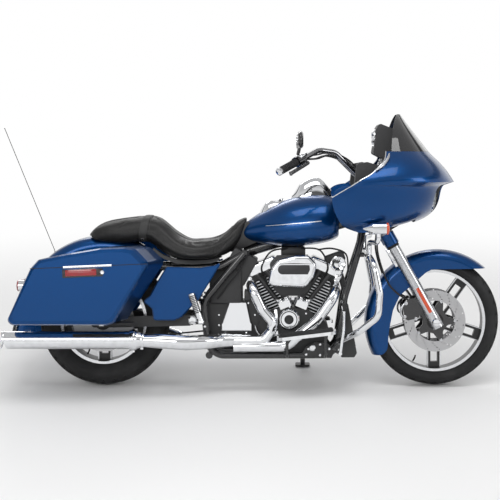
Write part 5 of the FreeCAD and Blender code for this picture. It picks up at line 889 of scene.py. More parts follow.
class CRUISER_OT_discs(bpy.types.Operator):
    """Drilled discs with their carriers and buttons"""

    bl_idname = "cruiser.discs"
    bl_label = "Brake discs"

    def execute(self, context):
        rotors, carriers = Shape(), Shape()
        plate = punched(circle(0.15, 96), [circle(0.1, 72)] + rotor_holes(15, 0.109, 0.141, 0.09, 0.0032),
                        0.005)
        carrier = punched(star(5, 0.062, 0.106, 3.0), [circle(0.04, 40)], 0.0062)
        for side in SIDES:
            rotors.copy_mesh(plate, wheel_plane(FRONT_AXLE, side * 0.074))
            carriers.copy_mesh(carrier, wheel_plane(FRONT_AXLE, side * 0.074))
        rotors.piece("front_rotors", "disc", "front_wheel", ["front_discs"])
        carriers.piece("front_disc_carriers", "gloss_black", "front_wheel")
        spots = [spot for side in SIDES
                 for spot in round_spots(FRONT_AXLE + Y * side * 0.0766, 0.0985, 5, Y * side)]
        on_spots(bolt_head(0.008, 0.5), "front_disc_buttons", "aluminium", spots, "front_wheel")
        return {"FINISHED"}


class CRUISER_OT_wheels(bpy.types.Operator):
    """Finishes of the wheels, with axle nuts and valve stems"""

    bl_idname = "cruiser.wheels"
    bl_label = "Wheels"

    def execute(self, context):
        dress("rear_casting", "rear_rim")
        dress("front_casting", "front_rim")
        dress("disc", "front_discs")
        dress("rear_disc", "rear_disc_and_pulley")
        dress("aluminium", "rear_axle")
        dress("rubber", "drive_belt")
        dress("satin_black", "swingarm", "rear_shocks")
        caps = Shape()
        for side in SIDES:
            caps.lathe(REAR_AXLE + Y * (side * 0.163), Y * side,
                       [(0, 0.008), (0, 0.021), (0.008, 0.021), (0.012, 0.017), (0.012, 0.008)], 6,
                       closed=True)
        caps.piece("rear_axle_nuts", "chrome", sharp=20)
        for word, axle, reach, half in (("rear", REAR_AXLE, 0.192, 0.05), ("front", FRONT_AXLE, 0.23, 0.032)):
            stem = Shape()
            start = axle + at(-reach * 0.45, -half * 0.2, -reach * 0.89)
            stem.tube([start, start + at(0.008, -0.006, 0.016), start + at(0.012, -0.012, 0.03)],
                      [0.004, 0.004, 0.0034], 10)
            stem.piece(word + "_valve_stem", "rubber", word + "_wheel")
        return {"FINISHED"}


# Finishes that change across one casting

def part_bright(name, mask_of, dark=(0.015, 0.015, 0.016), bright=(0.8, 0.81, 0.83)):
    """A black casting with bright plated areas where the mask is one."""
    gloss = 0.4
    made = Finish(name, dark)
    mask = mask_of(made)
    cloud = made.noise(26.0, 4.0)
    made.feed("Base Color", made.mix(mask, made.mix(cloud, dark, shade(dark, 1.6)), bright))
    made.feed("Metallic", mask)
    made.feed("Roughness", gloss + 0.06 - mask * gloss + cloud * 0.05)
    return made.bump(made.noise(520.0, 3.0) * (1 - mask), 0.00025, 0.5)


def cam_mask(made):
    """Bright rings of the timer cover, on the near face only."""
    ahead, across, up = made.parts(made.upright(TIMER))
    reach = (ahead * ahead + up * up) ** 0.5
    rings = made.step(reach, 0.0405, 0.0412) + made.step(reach, 0.0222, 0.0228) \
        * made.step(reach, 0.0362, 0.0368, 1, 0)
    return rings * made.step(across, -0.1205, -0.1195, 1, 0)


def grip_mask(made):
    """Everything but the rubber of the two grips."""
    ahead, across, up = made.parts(made.upright(GRIP_END))
    out = abs(across) - GRIP_SIDE
    along = ahead * GRIP_WAY.x - out * GRIP_WAY.y + up * GRIP_WAY.z
    square = ahead * ahead + out * out + up * up - along * along
    return 1 - made.step(square, 0.00034, 0.00036, 1, 0) * made.step(along, 0.1185, 0.1195, 1, 0)


def tank_paint(colours):
    """The body paint with one slim silver line along each flank."""
    made = paint(colours)
    made.material.name = "tank_paint"
    ahead, across, up = made.parts(made.upright())
    line = abs(up - 0.787 - (ahead - 0.792) * 0.096)
    run = made.step(ahead, 0.79, 0.8) * made.step(ahead, 1.06, 1.07, 1, 0)
    taper = 0.0006 + (ahead - 0.79) * 0.005
    mask = made.step(line - taper, 0.0, 0.0003, 1, 0) * run * made.step(abs(across), 0.1, 0.101)
    silver = (0.72, 0.73, 0.75)
    base = Value(made, made.shader.inputs["Base Color"].links[0].from_socket)
    made.feed("Base Color", made.mix(mask, base, silver))
    made.feed("Roughness", 0.28 + mask * 0.05 + made.noise(60.0) * 0.05)
    return made


def more_finishes(colours):
    """Finishes that belong to one casting each."""
    FINISHES.update({
        "tank_paint": tank_paint(colours),
        "cam": part_bright("cam_casting", cam_mask),
        "gearbox": part_bright("gearbox_casting", lambda made: made.step(
            made.parts(made.upright())[1], -0.0838, -0.082, 1, 0)),
        "tappets": part_bright("tappet_blocks", lambda made: made.step(
            made.parts(made.upright())[2], 0.424, 0.43, 1, 0)),
        "controls": part_bright("bar_controls", grip_mask, (0.017, 0.017, 0.018), (0.12, 0.12, 0.125)),
    })
    SLOT_OF.update({"cam": "chrome", "gearbox": "satin_black", "tappets": "chrome",
                    "controls": "black_rubber", "tank_paint": "paint"})


EDGE_LINE = ((1.112, 0.409, 0.933), (1.16, 0.4125, 0.962), (1.205, 0.413, 0.988), (1.25, 0.409, 1.016),
             (1.2956, 0.392, 1.041), (1.338, 0.359, 1.08), (1.363, 0.326, 1.111), (1.372, 0.281, 1.15))


class CRUISER_OT_bodywork(bpy.types.Operator):
    """Painted panels with their bright trim and brackets"""

    bl_idname = "cruiser.bodywork"
    bl_label = "Bodywork"

    def execute(self, context):
        dress("paint", "front_fender", "rear_fender", "fairing_outer", "side_covers", "fork_covers",
              "saddlebag_right", "saddlebag_left", "bag_lid_right", "bag_lid_left")
        dress("tank_paint", "fuel_tank")
        dress("chrome", "fuel_door", "tank_console")
        trim = Shape()
        for side in (1, -1):
            trim.tube(sided(side, *EDGE_LINE), 0.0028, 8)
        trim.piece("fairing_edge_trim", "chrome")
        flash = Shape()
        for side in SIDES:
            flash.tube(sided(side, (1.317, 0.392, 1.06), (1.352, 0.364, 1.084), (1.378, 0.334, 1.116),
                             (1.386, 0.31, 1.14)), [0.003, 0.008, 0.007, 0.003], 10)
        flash.piece("fairing_flashes", "aluminium")
        ring = Shape()
        ring.lathe(at(0.848, 0, 0.905), at(-0.33, 0, 0.944),
                   [(-0.004, 0.036), (0.004, 0.036), (0.004, 0.033), (-0.004, 0.033)], 48, closed=True)
        ring.piece("fuel_door_ring", "chrome")
        self.fender_trim()
        return {"FINISHED"}

    def fender_trim(self):
        """The front fender's brackets on the fork, with their bolts."""
        spots = []
        brackets = Shape()
        for side in SIDES:
            for along in (0.33, 0.38):
                foot = fork_point(along, side * 0.1)
                spots.append((foot + at(-0.036, 0, 0.004), Y * side))
            brackets.box(fork_point(0.355, side * 0.0905) - X * 0.03, (0.026, 0.006, 0.09),
                         Matrix.Rotation(-FORK, 4, "Y"), 0.002)
        brackets.piece("fender_brackets", "chrome", "steering")
        on_spots(bolt_head(0.0065), "fender_bolts", "chrome", spots, "steering")


class CRUISER_OT_engine(bpy.types.Operator):
    """The engine's covers, bolts, wires and the dark parts between its cylinders"""

    bl_idname = "cruiser.engine"
    bl_label = "Engine"

    def execute(self, context):
        dress("fins", "cylinders")
        dress("chrome", "rocker_covers", "air_cleaner", "primary_cover")
        dress("wrinkle_black", "crankcase")
        dress("cam", "cam_cover")
        dress("gearbox", "gearbox")
        dress("tappets", "pushrod_tubes")
        self.intake()
        self.covers()
        self.bolts()
        self.behind()
        self.wires()
        self.primary()
        return {"FINISHED"}

    def intake(self):
        """The air cleaner's insert, top strip and black back plate."""
        face = -0.214
        insert = Shape()
        spots = [at(0.8775 + 0.0225 * math.cos(t), face + 0.0042, 0.5798 + 0.0225 * math.sin(t))
                 for t in [math.pi / 2 + k * math.pi / 12 for k in range(13)]]
        spots += [at(1.0, face + 0.0042, 0.5573), at(1.01, face + 0.0042, 0.58),
                  at(1.008, face + 0.0042, 0.6023)]
        insert.slab(spots, -Y * 0.0045, 0.001)
        insert.piece("air_cleaner_insert", "wrinkle_black")
        lip = Shape()
        lip.tube([at(0.86, face + 0.001, 0.607), at(0.93, face + 0.0002, 0.6095),
                  at(1.018, face + 0.001, 0.608)], [0.0012, 0.0022, 0.0012], 8)
        lip.tube([at(0.822, -0.205, 0.598), at(0.85, -0.2085, 0.624), at(0.93, -0.2095, 0.632),
                  at(1.02, -0.2055, 0.628)], [0.0012, 0.002, 0.002, 0.0012], 8)
        lip.piece("air_cleaner_lines", "gloss_black")
        plate = Shape()
        outline = [(0.815, 0.6), (0.85, 0.645), (1.0, 0.648), (1.035, 0.6), (1.01, 0.48), (0.975, 0.447),
                   (0.87, 0.447), (0.835, 0.48)]
        plate.slab(flat(-0.121, outline), -Y * 0.012, 0.003)
        plate.box(at(0.93, -0.045, 0.56), (0.15, 0.13, 0.085), edge=0.012)
        plate.piece("air_cleaner_back_plate", "wrinkle_black")

    def covers(self):
        """Rocker end blocks, tappet stubs and the strips beside the timer cover."""
        bright = Shape()
        for end in (-1, 1):
            axis, square = cylinder_ways(end)
            turn = Matrix.Rotation(VEE * end, 4, "Y")
            head = CRANK + axis * 0.4085
            bright.box(head + square * end * 0.071 - Y * 0.064 - axis * 0.012, (0.03, 0.03, 0.036), turn,
                       0.005)
            for spread in (-1, 1):
                low = at(0.93 + end * 0.042, -0.112, 0.404) + square * spread * 0.0157
                bright.lathe(low + axis * 0.012, axis, [(0, 0.014), (0.012, 0.014), (0.014, 0.012),
                                                        (0.02, 0.0118), (0.02, 0)], 20)
        strip = [(0.836, 0.378), (0.85, 0.381), (0.853, 0.34), (0.851, 0.29), (0.858, 0.256),
                 (0.842, 0.252), (0.838, 0.3), (0.842, 0.345)]
        bright.slab(flat(CASE_FACE, strip), -Y * 0.006, 0.0015)
        tip = [(0.96, 0.262), (0.985, 0.29), (0.998, 0.33), (1.0, 0.27), (0.985, 0.256)]
        bright.slab(flat(CASE_FACE, tip), -Y * 0.005, 0.0015)
        bright.piece("engine_bright_parts", "chrome")

    def bolts(self):
        """Bolts round the covers and the rocker boxes."""
        screws = round_spots(TIMER - Y * 0.1335, 0.0295, 6, -Y, 0.3)
        on_spots(bolt_head(0.0026), "timer_screws", "gloss_black", screws)
        cam = ((0.8, 0.27), (0.822, 0.362), (0.83, 0.305), (0.992, 0.36), (1.03, 0.302),
               (0.945, 0.256), (0.87, 0.256), (0.912, 0.392), (1.01, 0.268))
        gearbox = ((0.598, 0.262), (0.7, 0.262), (0.566, 0.35), (0.566, 0.3), (0.742, 0.35),
                   (0.745, 0.29), (0.61, 0.408), (0.71, 0.408))
        spots = [(spot, -Y) for spot in flat(CASE_FACE, cam) + flat(GEARBOX_FACE, gearbox)]
        for end in (-1, 1):
            axis, square = cylinder_ways(end)
            spots += [(CRANK + axis * 0.411 + square * reach - Y * 0.0752, -Y) for reach in (-0.066, 0.066)]
        on_spots(bolt_head(0.0056), "cover_bolts", "chrome", spots)

    def behind(self):
        """Dark boxes and brackets that fill the room round the cylinders."""
        dark = Shape()
        dark.box(at(0.665, 0.0, 0.585), (0.13, 0.19, 0.15), Matrix.Rotation(0.5, 4, "Y"), 0.01)
        dark.box(at(0.6, 0.0, 0.49), (0.16, 0.21, 0.17), edge=0.012)
        dark.box(at(0.93, 0.0, 0.655), (0.12, 0.1, 0.055), edge=0.012)
        dark.box(at(1.135, -0.02, 0.625), (0.1, 0.075, 0.05), Matrix.Rotation(-0.35, 4, "Y"), 0.01)
        dark.box(at(1.17, 0.0, 0.52), (0.03, 0.09, 0.12), Matrix.Rotation(-0.3, 4, "Y"), 0.006)
        dark.box(at(0.72, -0.03, 0.445), (0.06, 0.12, 0.05), edge=0.006)
        dark.piece("electric_boxes", "black_plastic")
        horn = Shape()
        horn.lathe(at(1.148, -0.07, 0.6), at(0.25, -1, 0.1),
                   [(-0.02, 0), (-0.02, 0.03), (0.0, 0.038), (0.012, 0.038), (0.014, 0.034),
                    (0.006, 0.02), (0.008, 0)], 32)
        horn.piece("horn", "chrome")

    def wires(self):
        """Plug leads, a looped loom and the small pipes round the twin."""
        leads = Shape()
        lines = (
            [at(0.79, -0.085, 0.53), at(0.775, -0.105, 0.585), at(0.82, -0.1, 0.66), at(0.9, -0.05, 0.675)],
            [at(1.075, -0.085, 0.53), at(1.1, -0.105, 0.585), at(1.06, -0.1, 0.668), at(0.97, -0.05, 0.675)],
            [at(1.05, -0.06, 0.668), at(1.12, -0.075, 0.675), at(1.19, -0.05, 0.645), at(1.2, -0.03, 0.56)],
            [at(0.72, -0.1, 0.67), at(0.69, -0.125, 0.62), at(0.66, -0.13, 0.56), at(0.61, -0.125, 0.5),
             at(0.56, -0.11, 0.43)],
            [at(0.985, -0.11, 0.25), at(0.96, -0.125, 0.235), at(0.9, -0.125, 0.23), at(0.82, -0.115, 0.235)])
        for line in lines:
            leads.tube(line, 0.0042, 8)
        leads.piece("leads_and_loom", "rubber")
        caps = Shape()
        for line in lines[:2]:
            way = (line[0] - line[1]).normalized()
            caps.lathe(line[0], way, [(-0.012, 0), (-0.012, 0.008), (0.016, 0.0095), (0.026, 0.007),
                                      (0.026, 0)], 14)
        caps.piece("plug_caps", "black_plastic")
        steel = Shape()
        steel.tube([at(0.84, -0.118, 0.252), at(0.8, -0.135, 0.245), at(0.76, -0.13, 0.262),
                    at(0.742, -0.11, 0.3)], 0.0035, 8)
        steel.piece("oil_pipe", "aluminium")

    def primary(self):
        """Left side: the long cover's round hatches and their screws."""
        hatch = Shape()
        hatch.lathe(at(0.66, 0.184, 0.322), Y, [(0, 0.0), (0, 0.072), (0.004, 0.072), (0.008, 0.066),
                                                (0.008, 0.05), (0.005, 0.047), (0.005, 0.0)], 56)
        hatch.lathe(at(0.98, 0.184, 0.322), Y, [(0, 0.0), (0, 0.034), (0.003, 0.034), (0.006, 0.03),
                                                (0.006, 0.0)], 40)
        hatch.piece("primary_hatches", "chrome")
        spots = round_spots(at(0.66, 0.1915, 0.322), 0.058, 5, Y)
        for k in range(4):
            spots += [(at(0.74 + 0.06 * k, 0.178, z), Y) for z in (0.414, 0.229)]
        on_spots(bolt_head(0.005), "primary_screws", "chrome", spots)


class CRUISER_OT_exhaust(bpy.types.Operator):
    """Exhaust with its heat shields, clamps and tips"""

    bl_idname = "cruiser.exhaust"
    bl_label = "Exhaust"

    def execute(self, context):
        dress("chrome", "exhaust_pipes", "mufflers")
        shields = Shape()
        run = ((0.19, PIPE_SIDE, 0.247), (0.3, PIPE_SIDE, 0.242), (0.41, 0.27, 0.235),
               (0.5, 0.235, 0.234), (0.575, 0.185, 0.234), (0.64, 0.17, 0.234))
        shields.tube(sided(-1, *run), [0.031, 0.0355, 0.0355, 0.035, 0.033, 0.029], 28)
        shields.piece("mid_pipe_shield", "chrome", sharp=50)
        bands = Shape()
        can = 0.0492
        for side, neck in ((-1, 0.0345), (1, 0.0305)):
            for x, z, radius in ((0.205, 0.247, neck), (0.164, 0.248, can)):
                spot = at(x, side * PIPE_SIDE, z)
                bands.lathe(spot, X, [(-0.008, radius - 0.002), (-0.008, radius + 0.0015),
                                      (-0.006, radius + 0.0025), (0.006, radius + 0.0025),
                                      (0.008, radius + 0.0015), (0.008, radius - 0.002)], 40, closed=True)
                bands.box(spot - Z * (radius + 0.004), (0.014, 0.012, 0.012), edge=0.002)
        bands.piece("pipe_clamps", "chrome")
        mouths, rims = Shape(), Shape()
        for side in SIDES:
            spot = at(-0.41, side * PIPE_SIDE, 0.248)
            mouths.lathe(spot, X, [(0, 0), (0, 0.0398), (0.09, 0.0398), (0.09, 0.0)], 40)
            mouths.lathe(spot, -X, [(-0.002, 0.0), (-0.002, 0.024), (0.03, 0.024), (0.03, 0.0215),
                                    (0.001, 0.0215), (0.001, 0)], 32)
            slope = at(-0.97, 0, 0.24)
            rims.lathe(at(-0.4585, side * PIPE_SIDE, 0.2495), slope,
                       [(-0.002, 0.0405), (-0.002, 0.0432), (0.0035, 0.0438), (0.006, 0.0425),
                        (0.006, 0.0405)], 48, closed=True)
        mouths.piece("muffler_baffles", "soot")
        rims.piece("muffler_tips", "chrome")
        return {"FINISHED"}


# Frame, fork and cockpit

class CRUISER_OT_chassis(bpy.types.Operator):
    """Frame, stand, boards, pegs and shocks with their rubbers, bolts and springs"""

    bl_idname = "cruiser.chassis"
    bl_label = "Chassis"

    def execute(self, context):
        dress("gloss_black", "frame_tubes", "plate_bracket")
        dress("satin_black", "cooler_cover", "side_stand", "triple_clamps")
        dress("chrome", "engine_guard", "foot_controls", "footboard_right", "footboard_left")
        dress("chrome", "passenger_peg_right", "passenger_peg_left")
        dress("rubber", "antenna")
        self.boards()
        self.pegs()
        self.plates()
        self.springs()
        self.cooler()
        return {"FINISHED"}

    def boards(self):
        """Ribbed rubber mats on the boards and a rubber on the brake pedal."""
        slope = Matrix.Rotation(-math.atan2(0.034, 0.282), 4, "Y")
        for word, side in HANDS:
            mat = Shape()
            mat.box(at(0.99, side * 0.281, 0.2835), (0.262, 0.1, 0.008), slope, 0.003)
            mat.piece("board_mat_" + word, "rubber", word + "_board")
            rib = Shape().box(at(0.99, side * 0.239, 0.2885), (0.25, 0.0055, 0.005), slope, 0.0012)
            copies(rib, "board_ribs_" + word, "rubber", 8, step=(0, side * 0.0122, 0), body=word + "_board")
        pads = Shape()
        for side in SIDES:
            pads.box(at(1.1745, side * 0.26, 0.4015), (0.022, 0.058, 0.032), slope, 0.005)
        pads.piece("pedal_rubbers", "rubber")

    def pegs(self):
        """Rings of rubber round the passenger pegs."""
        rake = math.radians(19)
        up = at(-math.sin(rake), 0, math.cos(rake))
        for word, side in HANDS:
            pin = at(0.486, side * 0.246, 0.331)
            ring = Shape().lathe(pin + up * 0.05, up, [(-0.003, 0.0145), (-0.002, 0.0168), (0.002, 0.0168),
                                                       (0.003, 0.0145)], 24, closed=True)
            copies(ring, "peg_rings_" + word, "rubber", 11, step=tuple(up * 0.0082), body=word + "_peg")
            cap = Shape().lathe(pin + up * 0.1415, up, [(-0.003, 0), (-0.003, 0.0155), (0.002, 0.0155),
                                                       (0.004, 0.013), (0.004, 0)], 24)
            cap.piece("peg_cap_" + word, "chrome", word + "_peg")

    def plates(self):
        """The black control plates low on the frame, and the frame's bolts."""
        plates = Shape()
        spots = []
        for side in SIDES:
            outline = [(0.985, 0.15), (1.115, 0.145), (1.13, 0.175), (1.1, 0.215), (1.04, 0.225),
                       (0.99, 0.2), (0.975, 0.17)]
            plates.slab(flat(side * 0.136, outline), Y * side * 0.006, 0.0015)
            low = ((0.992, 0.163), (1.003, 0.19), (1.06, 0.212), (1.088, 0.165), (1.105, 0.19),
                   (1.06, 0.16))
            posts = ((0.486, 0.44), (0.5, 0.3), (1.165, 0.42))
            spots += [(spot, Y * side)
                      for spot in flat(side * 0.142, low) + flat(side * 0.151, posts)]
        plates.piece("control_plates", "satin_black")
        on_spots(bolt_head(0.0062), "frame_bolts", "chrome", spots)
        boss = Shape()
        for side in SIDES:
            boss.lathe(at(1.022, side * 0.142, 0.196), Y * side,
                       [(0, 0), (0, 0.017), (0.01, 0.016), (0.014, 0.012), (0.015, 0.006), (0.013, 0)], 28)
            boss.lathe(at(0.44, side * 0.153, 0.33), Y * side,
                       [(0, 0), (0, 0.022), (0.004, 0.022), (0.01, 0.016), (0.011, 0)], 28)
        boss.piece("pivot_caps", "chrome")

    def springs(self):
        """Coils round the rear shocks, and their bolts."""
        low, high = at(0.07, 0, 0.392), at(0.19, 0, 0.612)
        way = (high - low).normalized()
        rings = Shape()
        for side in SIDES:
            for k in range(13):
                centre = low + way * (0.06 + k * 0.011) + Y * side * 0.18
                rings.lathe(centre, way + X * 0.05, [(-0.003, 0.026), (0, 0.0295), (0.003, 0.026),
                                                     (0, 0.0235)], 24, closed=True)
        rings.piece("shock_coils", "gloss_black")
        caps = Shape()
        for side in SIDES:
            for spot in (low, high):
                caps.lathe(spot + Y * side * 0.2055, Y * side,
                           [(0, 0), (0, 0.013), (0.006, 0.012), (0.008, 0.008), (0.008, 0)], 20)
        caps.piece("shock_bolts", "chrome")

    def cooler(self):
        """Slats in the oil cooler's face, ahead of the down tubes."""
        slat = Shape().box(at(1.2335, 0, 0.2), (0.008, 0.15, 0.003), Matrix.Rotation(0.5, 4, "Y"), 0.0008)
        copies(slat, "cooler_slats", "aluminium", 15, step=(-0.0024, 0, 0.0125))


class CRUISER_OT_fork(bpy.types.Operator):
    """Fork, callipers, hoses and reflectors"""

    bl_idname = "cruiser.fork"
    bl_label = "Fork"

    def execute(self, context):
        dress("aluminium", "fork_legs")
        dress("gloss_black", "front_callipers")
        seals, reflectors, nuts, hoses, strips = Shape(), Shape(), Shape(), Shape(), Shape()
        spots = []
        for side in SIDES:
            top = fork_point(0.43, side * 0.116)
            seals.lathe(top, FORK_AXIS, [(-0.012, 0.0275), (-0.012, 0.0296), (0.004, 0.0296), (0.01, 0.0268),
                                         (0.01, 0.0245), (-0.01, 0.0245)], 36, closed=True)
            reflectors.box(fork_point(0.122, side * 0.1455), (0.017, 0.006, 0.136),
                           Matrix.Rotation(-FORK, 4, "Y"), 0.0025)
            nuts.lathe(FRONT_AXLE + Y * side * 0.145, Y * side,
                       [(0, 0), (0, 0.02), (0.007, 0.02), (0.013, 0.015), (0.014, 0.006), (0.014, 0)], 28)
            hoses.tube(sided(side, (1.345, 0.05, 0.75), (1.342, 0.085, 0.67), (1.362, 0.1, 0.585),
                             (1.395, 0.112, 0.505), (1.445, 0.113, 0.452), (1.492, 0.105, 0.425)),
                       0.0043, 10)
            centre = at(1.517, side * 0.1192, 0.374)
            arc = [centre + at(0.05 * math.cos(t) - 0.012, 0, 0.05 * math.sin(t) - 0.004)
                   for t in [2.0 + k * 0.22 for k in range(9)]]
            strips.tube(arc, [0.002] + [0.0052] * 7 + [0.002], 10, 2)
            for dx, dz in ((-0.036, 0.035), (-0.043, -0.03), (0.012, -0.04)):
                spots.append((centre + at(dx, 0, dz), Y * side))
        seals.piece("fork_seals", "rubber", "steering")
        reflectors.piece("fork_reflectors", "orange_lens", "steering")
        nuts.piece("front_axle_nuts", "chrome", "steering")
        hoses.piece("front_brake_hoses", "rubber", "steering")
        strips.piece("calliper_strips", "aluminium", "steering")
        on_spots(bolt_head(0.0085, 0.5), "calliper_bolts", "aluminium", spots, "steering")
        return {"FINISHED"}


class CRUISER_OT_cockpit(bpy.types.Operator):
    """Bars, grips, mirrors, gauges, speakers and screen"""

    bl_idname = "cruiser.cockpit"
    bl_label = "Cockpit"

    def execute(self, context):
        # The handlebar's chrome carries painted shade: its darker colour stands in for dark reflections.
        dress("shade_painted_chrome", "handlebar")
        dress("gloss_black", "mirrors")
        dress("controls", "hand_controls")
        dress("black_plastic", "fairing_inner")
        dress("screen", "windscreen")
        self.grips()
        self.mirrors()
        self.dash()
        return {"FINISHED"}

    def grips(self):
        """Grip rings, end caps, fluid reservoirs, buttons and cables."""
        ends, boxes, buttons, cables = Shape(), Shape(), Shape(), Shape()
        for side in SIDES:
            way = at(GRIP_WAY.x, -side * GRIP_WAY.y, GRIP_WAY.z)
            end = GRIP_END + Y * side * GRIP_SIDE
            ring = Shape().lathe(end + way * 0.006, way,
                                 [(-0.0016, 0.0165), (-0.0012, 0.0182), (0.0012, 0.0182), (0.0016, 0.0165)],
                                 28, closed=True)
            copies(ring, "grip_rings_" + ("left" if side > 0 else "right"), "rubber", 21,
                   step=tuple(way * 0.0052), body="steering")
            ends.lathe(end - way * 0.0125, -way, [(-0.006, 0.0172), (-0.006, 0.0185), (0.003, 0.0185),
                                                  (0.008, 0.014), (0.009, 0)], 28)
            turn = way.to_track_quat("X", "Z").to_matrix().to_4x4()
            up = turn.to_3x3() @ Z
            boxes.box(end + way * 0.158 + up * 0.02 + X * 0.006, (0.05, 0.034, 0.02), turn, 0.005)
            for run, fore in ((0.128, -0.024), (0.143, -0.025), (0.158, -0.024)):
                buttons.box(end + way * run + X * fore + Z * 0.004, (0.009, 0.006, 0.009), turn, 0.0015)
            inner = end + way * 0.168
            cables.tube([inner] + sided(side, (1.04, 0.27, 1.115), (1.1, 0.2, 1.13), (1.18, 0.15, 1.1),
                                        (1.25, 0.1, 1.02), (1.28, 0.06, 0.96)), 0.0048, 10)
            cables.tube([inner + Z * 0.014]
                        + sided(side, (1.05, 0.26, 1.135), (1.11, 0.2, 1.147), (1.2, 0.15, 1.108),
                                (1.27, 0.1, 1.03), (1.3, 0.06, 0.96)), 0.0036, 10)
        ends.piece("grip_ends", "chrome", "steering")
        boxes.piece("fluid_reservoirs", "chrome", "steering")
        buttons.piece("bar_buttons", "rubber", "steering")
        cables.piece("bar_cables", "rubber", "steering")

    def mirrors(self):
        """Glass in the mirrors' rear faces."""
        panes = Shape()
        for side in SIDES:
            centre = at(0.9495, side * 0.3814, 1.2043)
            oval = []
            for k in range(40):
                turn = k * math.tau / 40
                wide = math.copysign(abs(math.cos(turn)) ** 0.8, math.cos(turn)) * 0.056
                tall = math.copysign(abs(math.sin(turn)) ** 0.8, math.sin(turn)) * 0.03
                oval.append(centre + at(0, wide, tall))
            panes.slab(oval, -X * 0.0015, 0.0004)
        panes.piece("mirror_panes", "chrome", "steering")

    def dash(self):
        """Round gauges in the housing, speakers and the radio on the panel."""
        rims, faces, cones, marks, knobs = Shape(), Shape(), Shape(), Shape(), Shape()
        radius = 0.043
        for y in (-0.052, 0.052):
            spot = at(1.3292, y, 1.216)
            rims.lathe(spot, -X, [(-0.004, radius), (0.004, radius), (0.007, radius - 0.003),
                                  (0.004, radius - 0.006), (-0.004, radius - 0.006)], 40, closed=True)
            faces.lathe(spot, -X, [(-0.004, 0), (-0.004, radius - 0.004), (0.002, radius - 0.004),
                                   (0.002, 0)], 40)
            for k in range(11):
                turn = -0.6 + k * 0.44
                way = at(0, math.cos(turn), math.sin(turn))
                marks.box(spot + way * (radius - 0.011) - X * 0.0022, (0.0008, 0.0016, 0.005),
                          Matrix.Rotation(turn - math.pi / 2, 4, "X"), 0)
            marks.box(spot - X * 0.003 + at(0, 0.008, 0.008), (0.001, 0.0014, 0.028),
                      Matrix.Rotation(-0.8, 4, "X"), 0)
        aim = at(-0.925, 0, 0.38)
        for y in (-0.21, 0.21):
            spot = at(1.3715, y, 1.1)
            rims.lathe(spot, aim, [(-0.004, 0.046), (0.003, 0.046), (0.006, 0.043), (0.003, 0.04),
                                   (-0.004, 0.04)], 40, closed=True)
            cones.lathe(spot, aim, [(-0.006, 0), (-0.006, 0.041), (0.002, 0.041), (-0.002, 0.03),
                                    (-0.004, 0.012), (0.002, 0.009), (0.003, 0)], 40)
        for y in (-0.075, -0.045, 0.045, 0.075):
            spot = at(1.3745, y, 1.075)
            knobs.lathe(spot, aim, [(-0.004, 0), (-0.004, 0.009), (0.006, 0.008), (0.007, 0.006),
                                    (0.007, 0)], 20)
        faces.box(at(1.372, 0, 1.112), (0.01, 0.15, 0.04), Matrix.Rotation(-0.39, 4, "Y"), 0.003)
        rims.piece("gauge_rims", "chrome")
        faces.piece("gauge_faces", "dial")
        cones.piece("speaker_cones", "rubber")
        marks.piece("gauge_marks", "white_mark", sharp=20)
        knobs.piece("dash_knobs", "aluminium")


class CRUISER_OT_lamps(bpy.types.Operator):
    """Headlamps, signals, tail lamp, reflectors and the bare plate"""

    bl_idname = "cruiser.lamps"
    bl_label = "Lamps"

    def execute(self, context):
        dress("satin_black", "headlamps")
        dress("chrome", "turn_signals", "rear_lamps")
        bowls, panes, orange, red = Shape(), Shape(), Shape(), Shape()
        for side in SIDES:
            spot = at(1.5965, side * 0.092, 0.934)
            bowls.lathe(spot, X, [(-0.002, 0), (0.002, 0.016), (0.012, 0.019), (0.004, 0.024), (0.002, 0.036),
                                  (0.004, 0.058), (0.012, 0.068), (0.014, 0.0725), (0.006, 0.0735),
                                  (-0.004, 0.066)], 56)
            panes.lathe(spot, X, [(0.013, 0), (0.013, 0.0715), (0.016, 0.0715), (0.023, 0.062),
                                  (0.029, 0.042), (0.032, 0.02), (0.033, 0)], 56)
            lens_at = at(1.3705, side * 0.354, 0.784)
            orange.lathe(lens_at, X, [(0, 0), (0, 0.0287), (0.007, 0.0287), (0.011, 0.025), (0.014, 0.014),
                                      (0.015, 0)], 36)
            red.lathe(at(-0.404, side * 0.15, 0.498), -X, [(0, 0), (0, 0.0272), (0.004, 0.0272),
                                                           (0.008, 0.022), (0.011, 0.01), (0.0115, 0)], 32)
        red.box(at(-0.4055, 0, 0.4985), (0.012, 0.086, 0.041), edge=0.004, steps=3)
        bowls.piece("headlamp_bowls", "chrome", sharp=25)
        panes.piece("headlamp_lenses", "lamp_glass")
        orange.piece("signal_lenses", "orange_lens")
        red.piece("tail_lenses", "red_lens")
        plate = Shape()
        turn = Matrix.Rotation(math.radians(12), 4, "Y")
        plate.box(at(-0.4365, 0, 0.316), (0.002, 0.184, 0.115), turn, 0.0008)
        plate.piece("blank_plate", "plate")
        return {"FINISHED"}


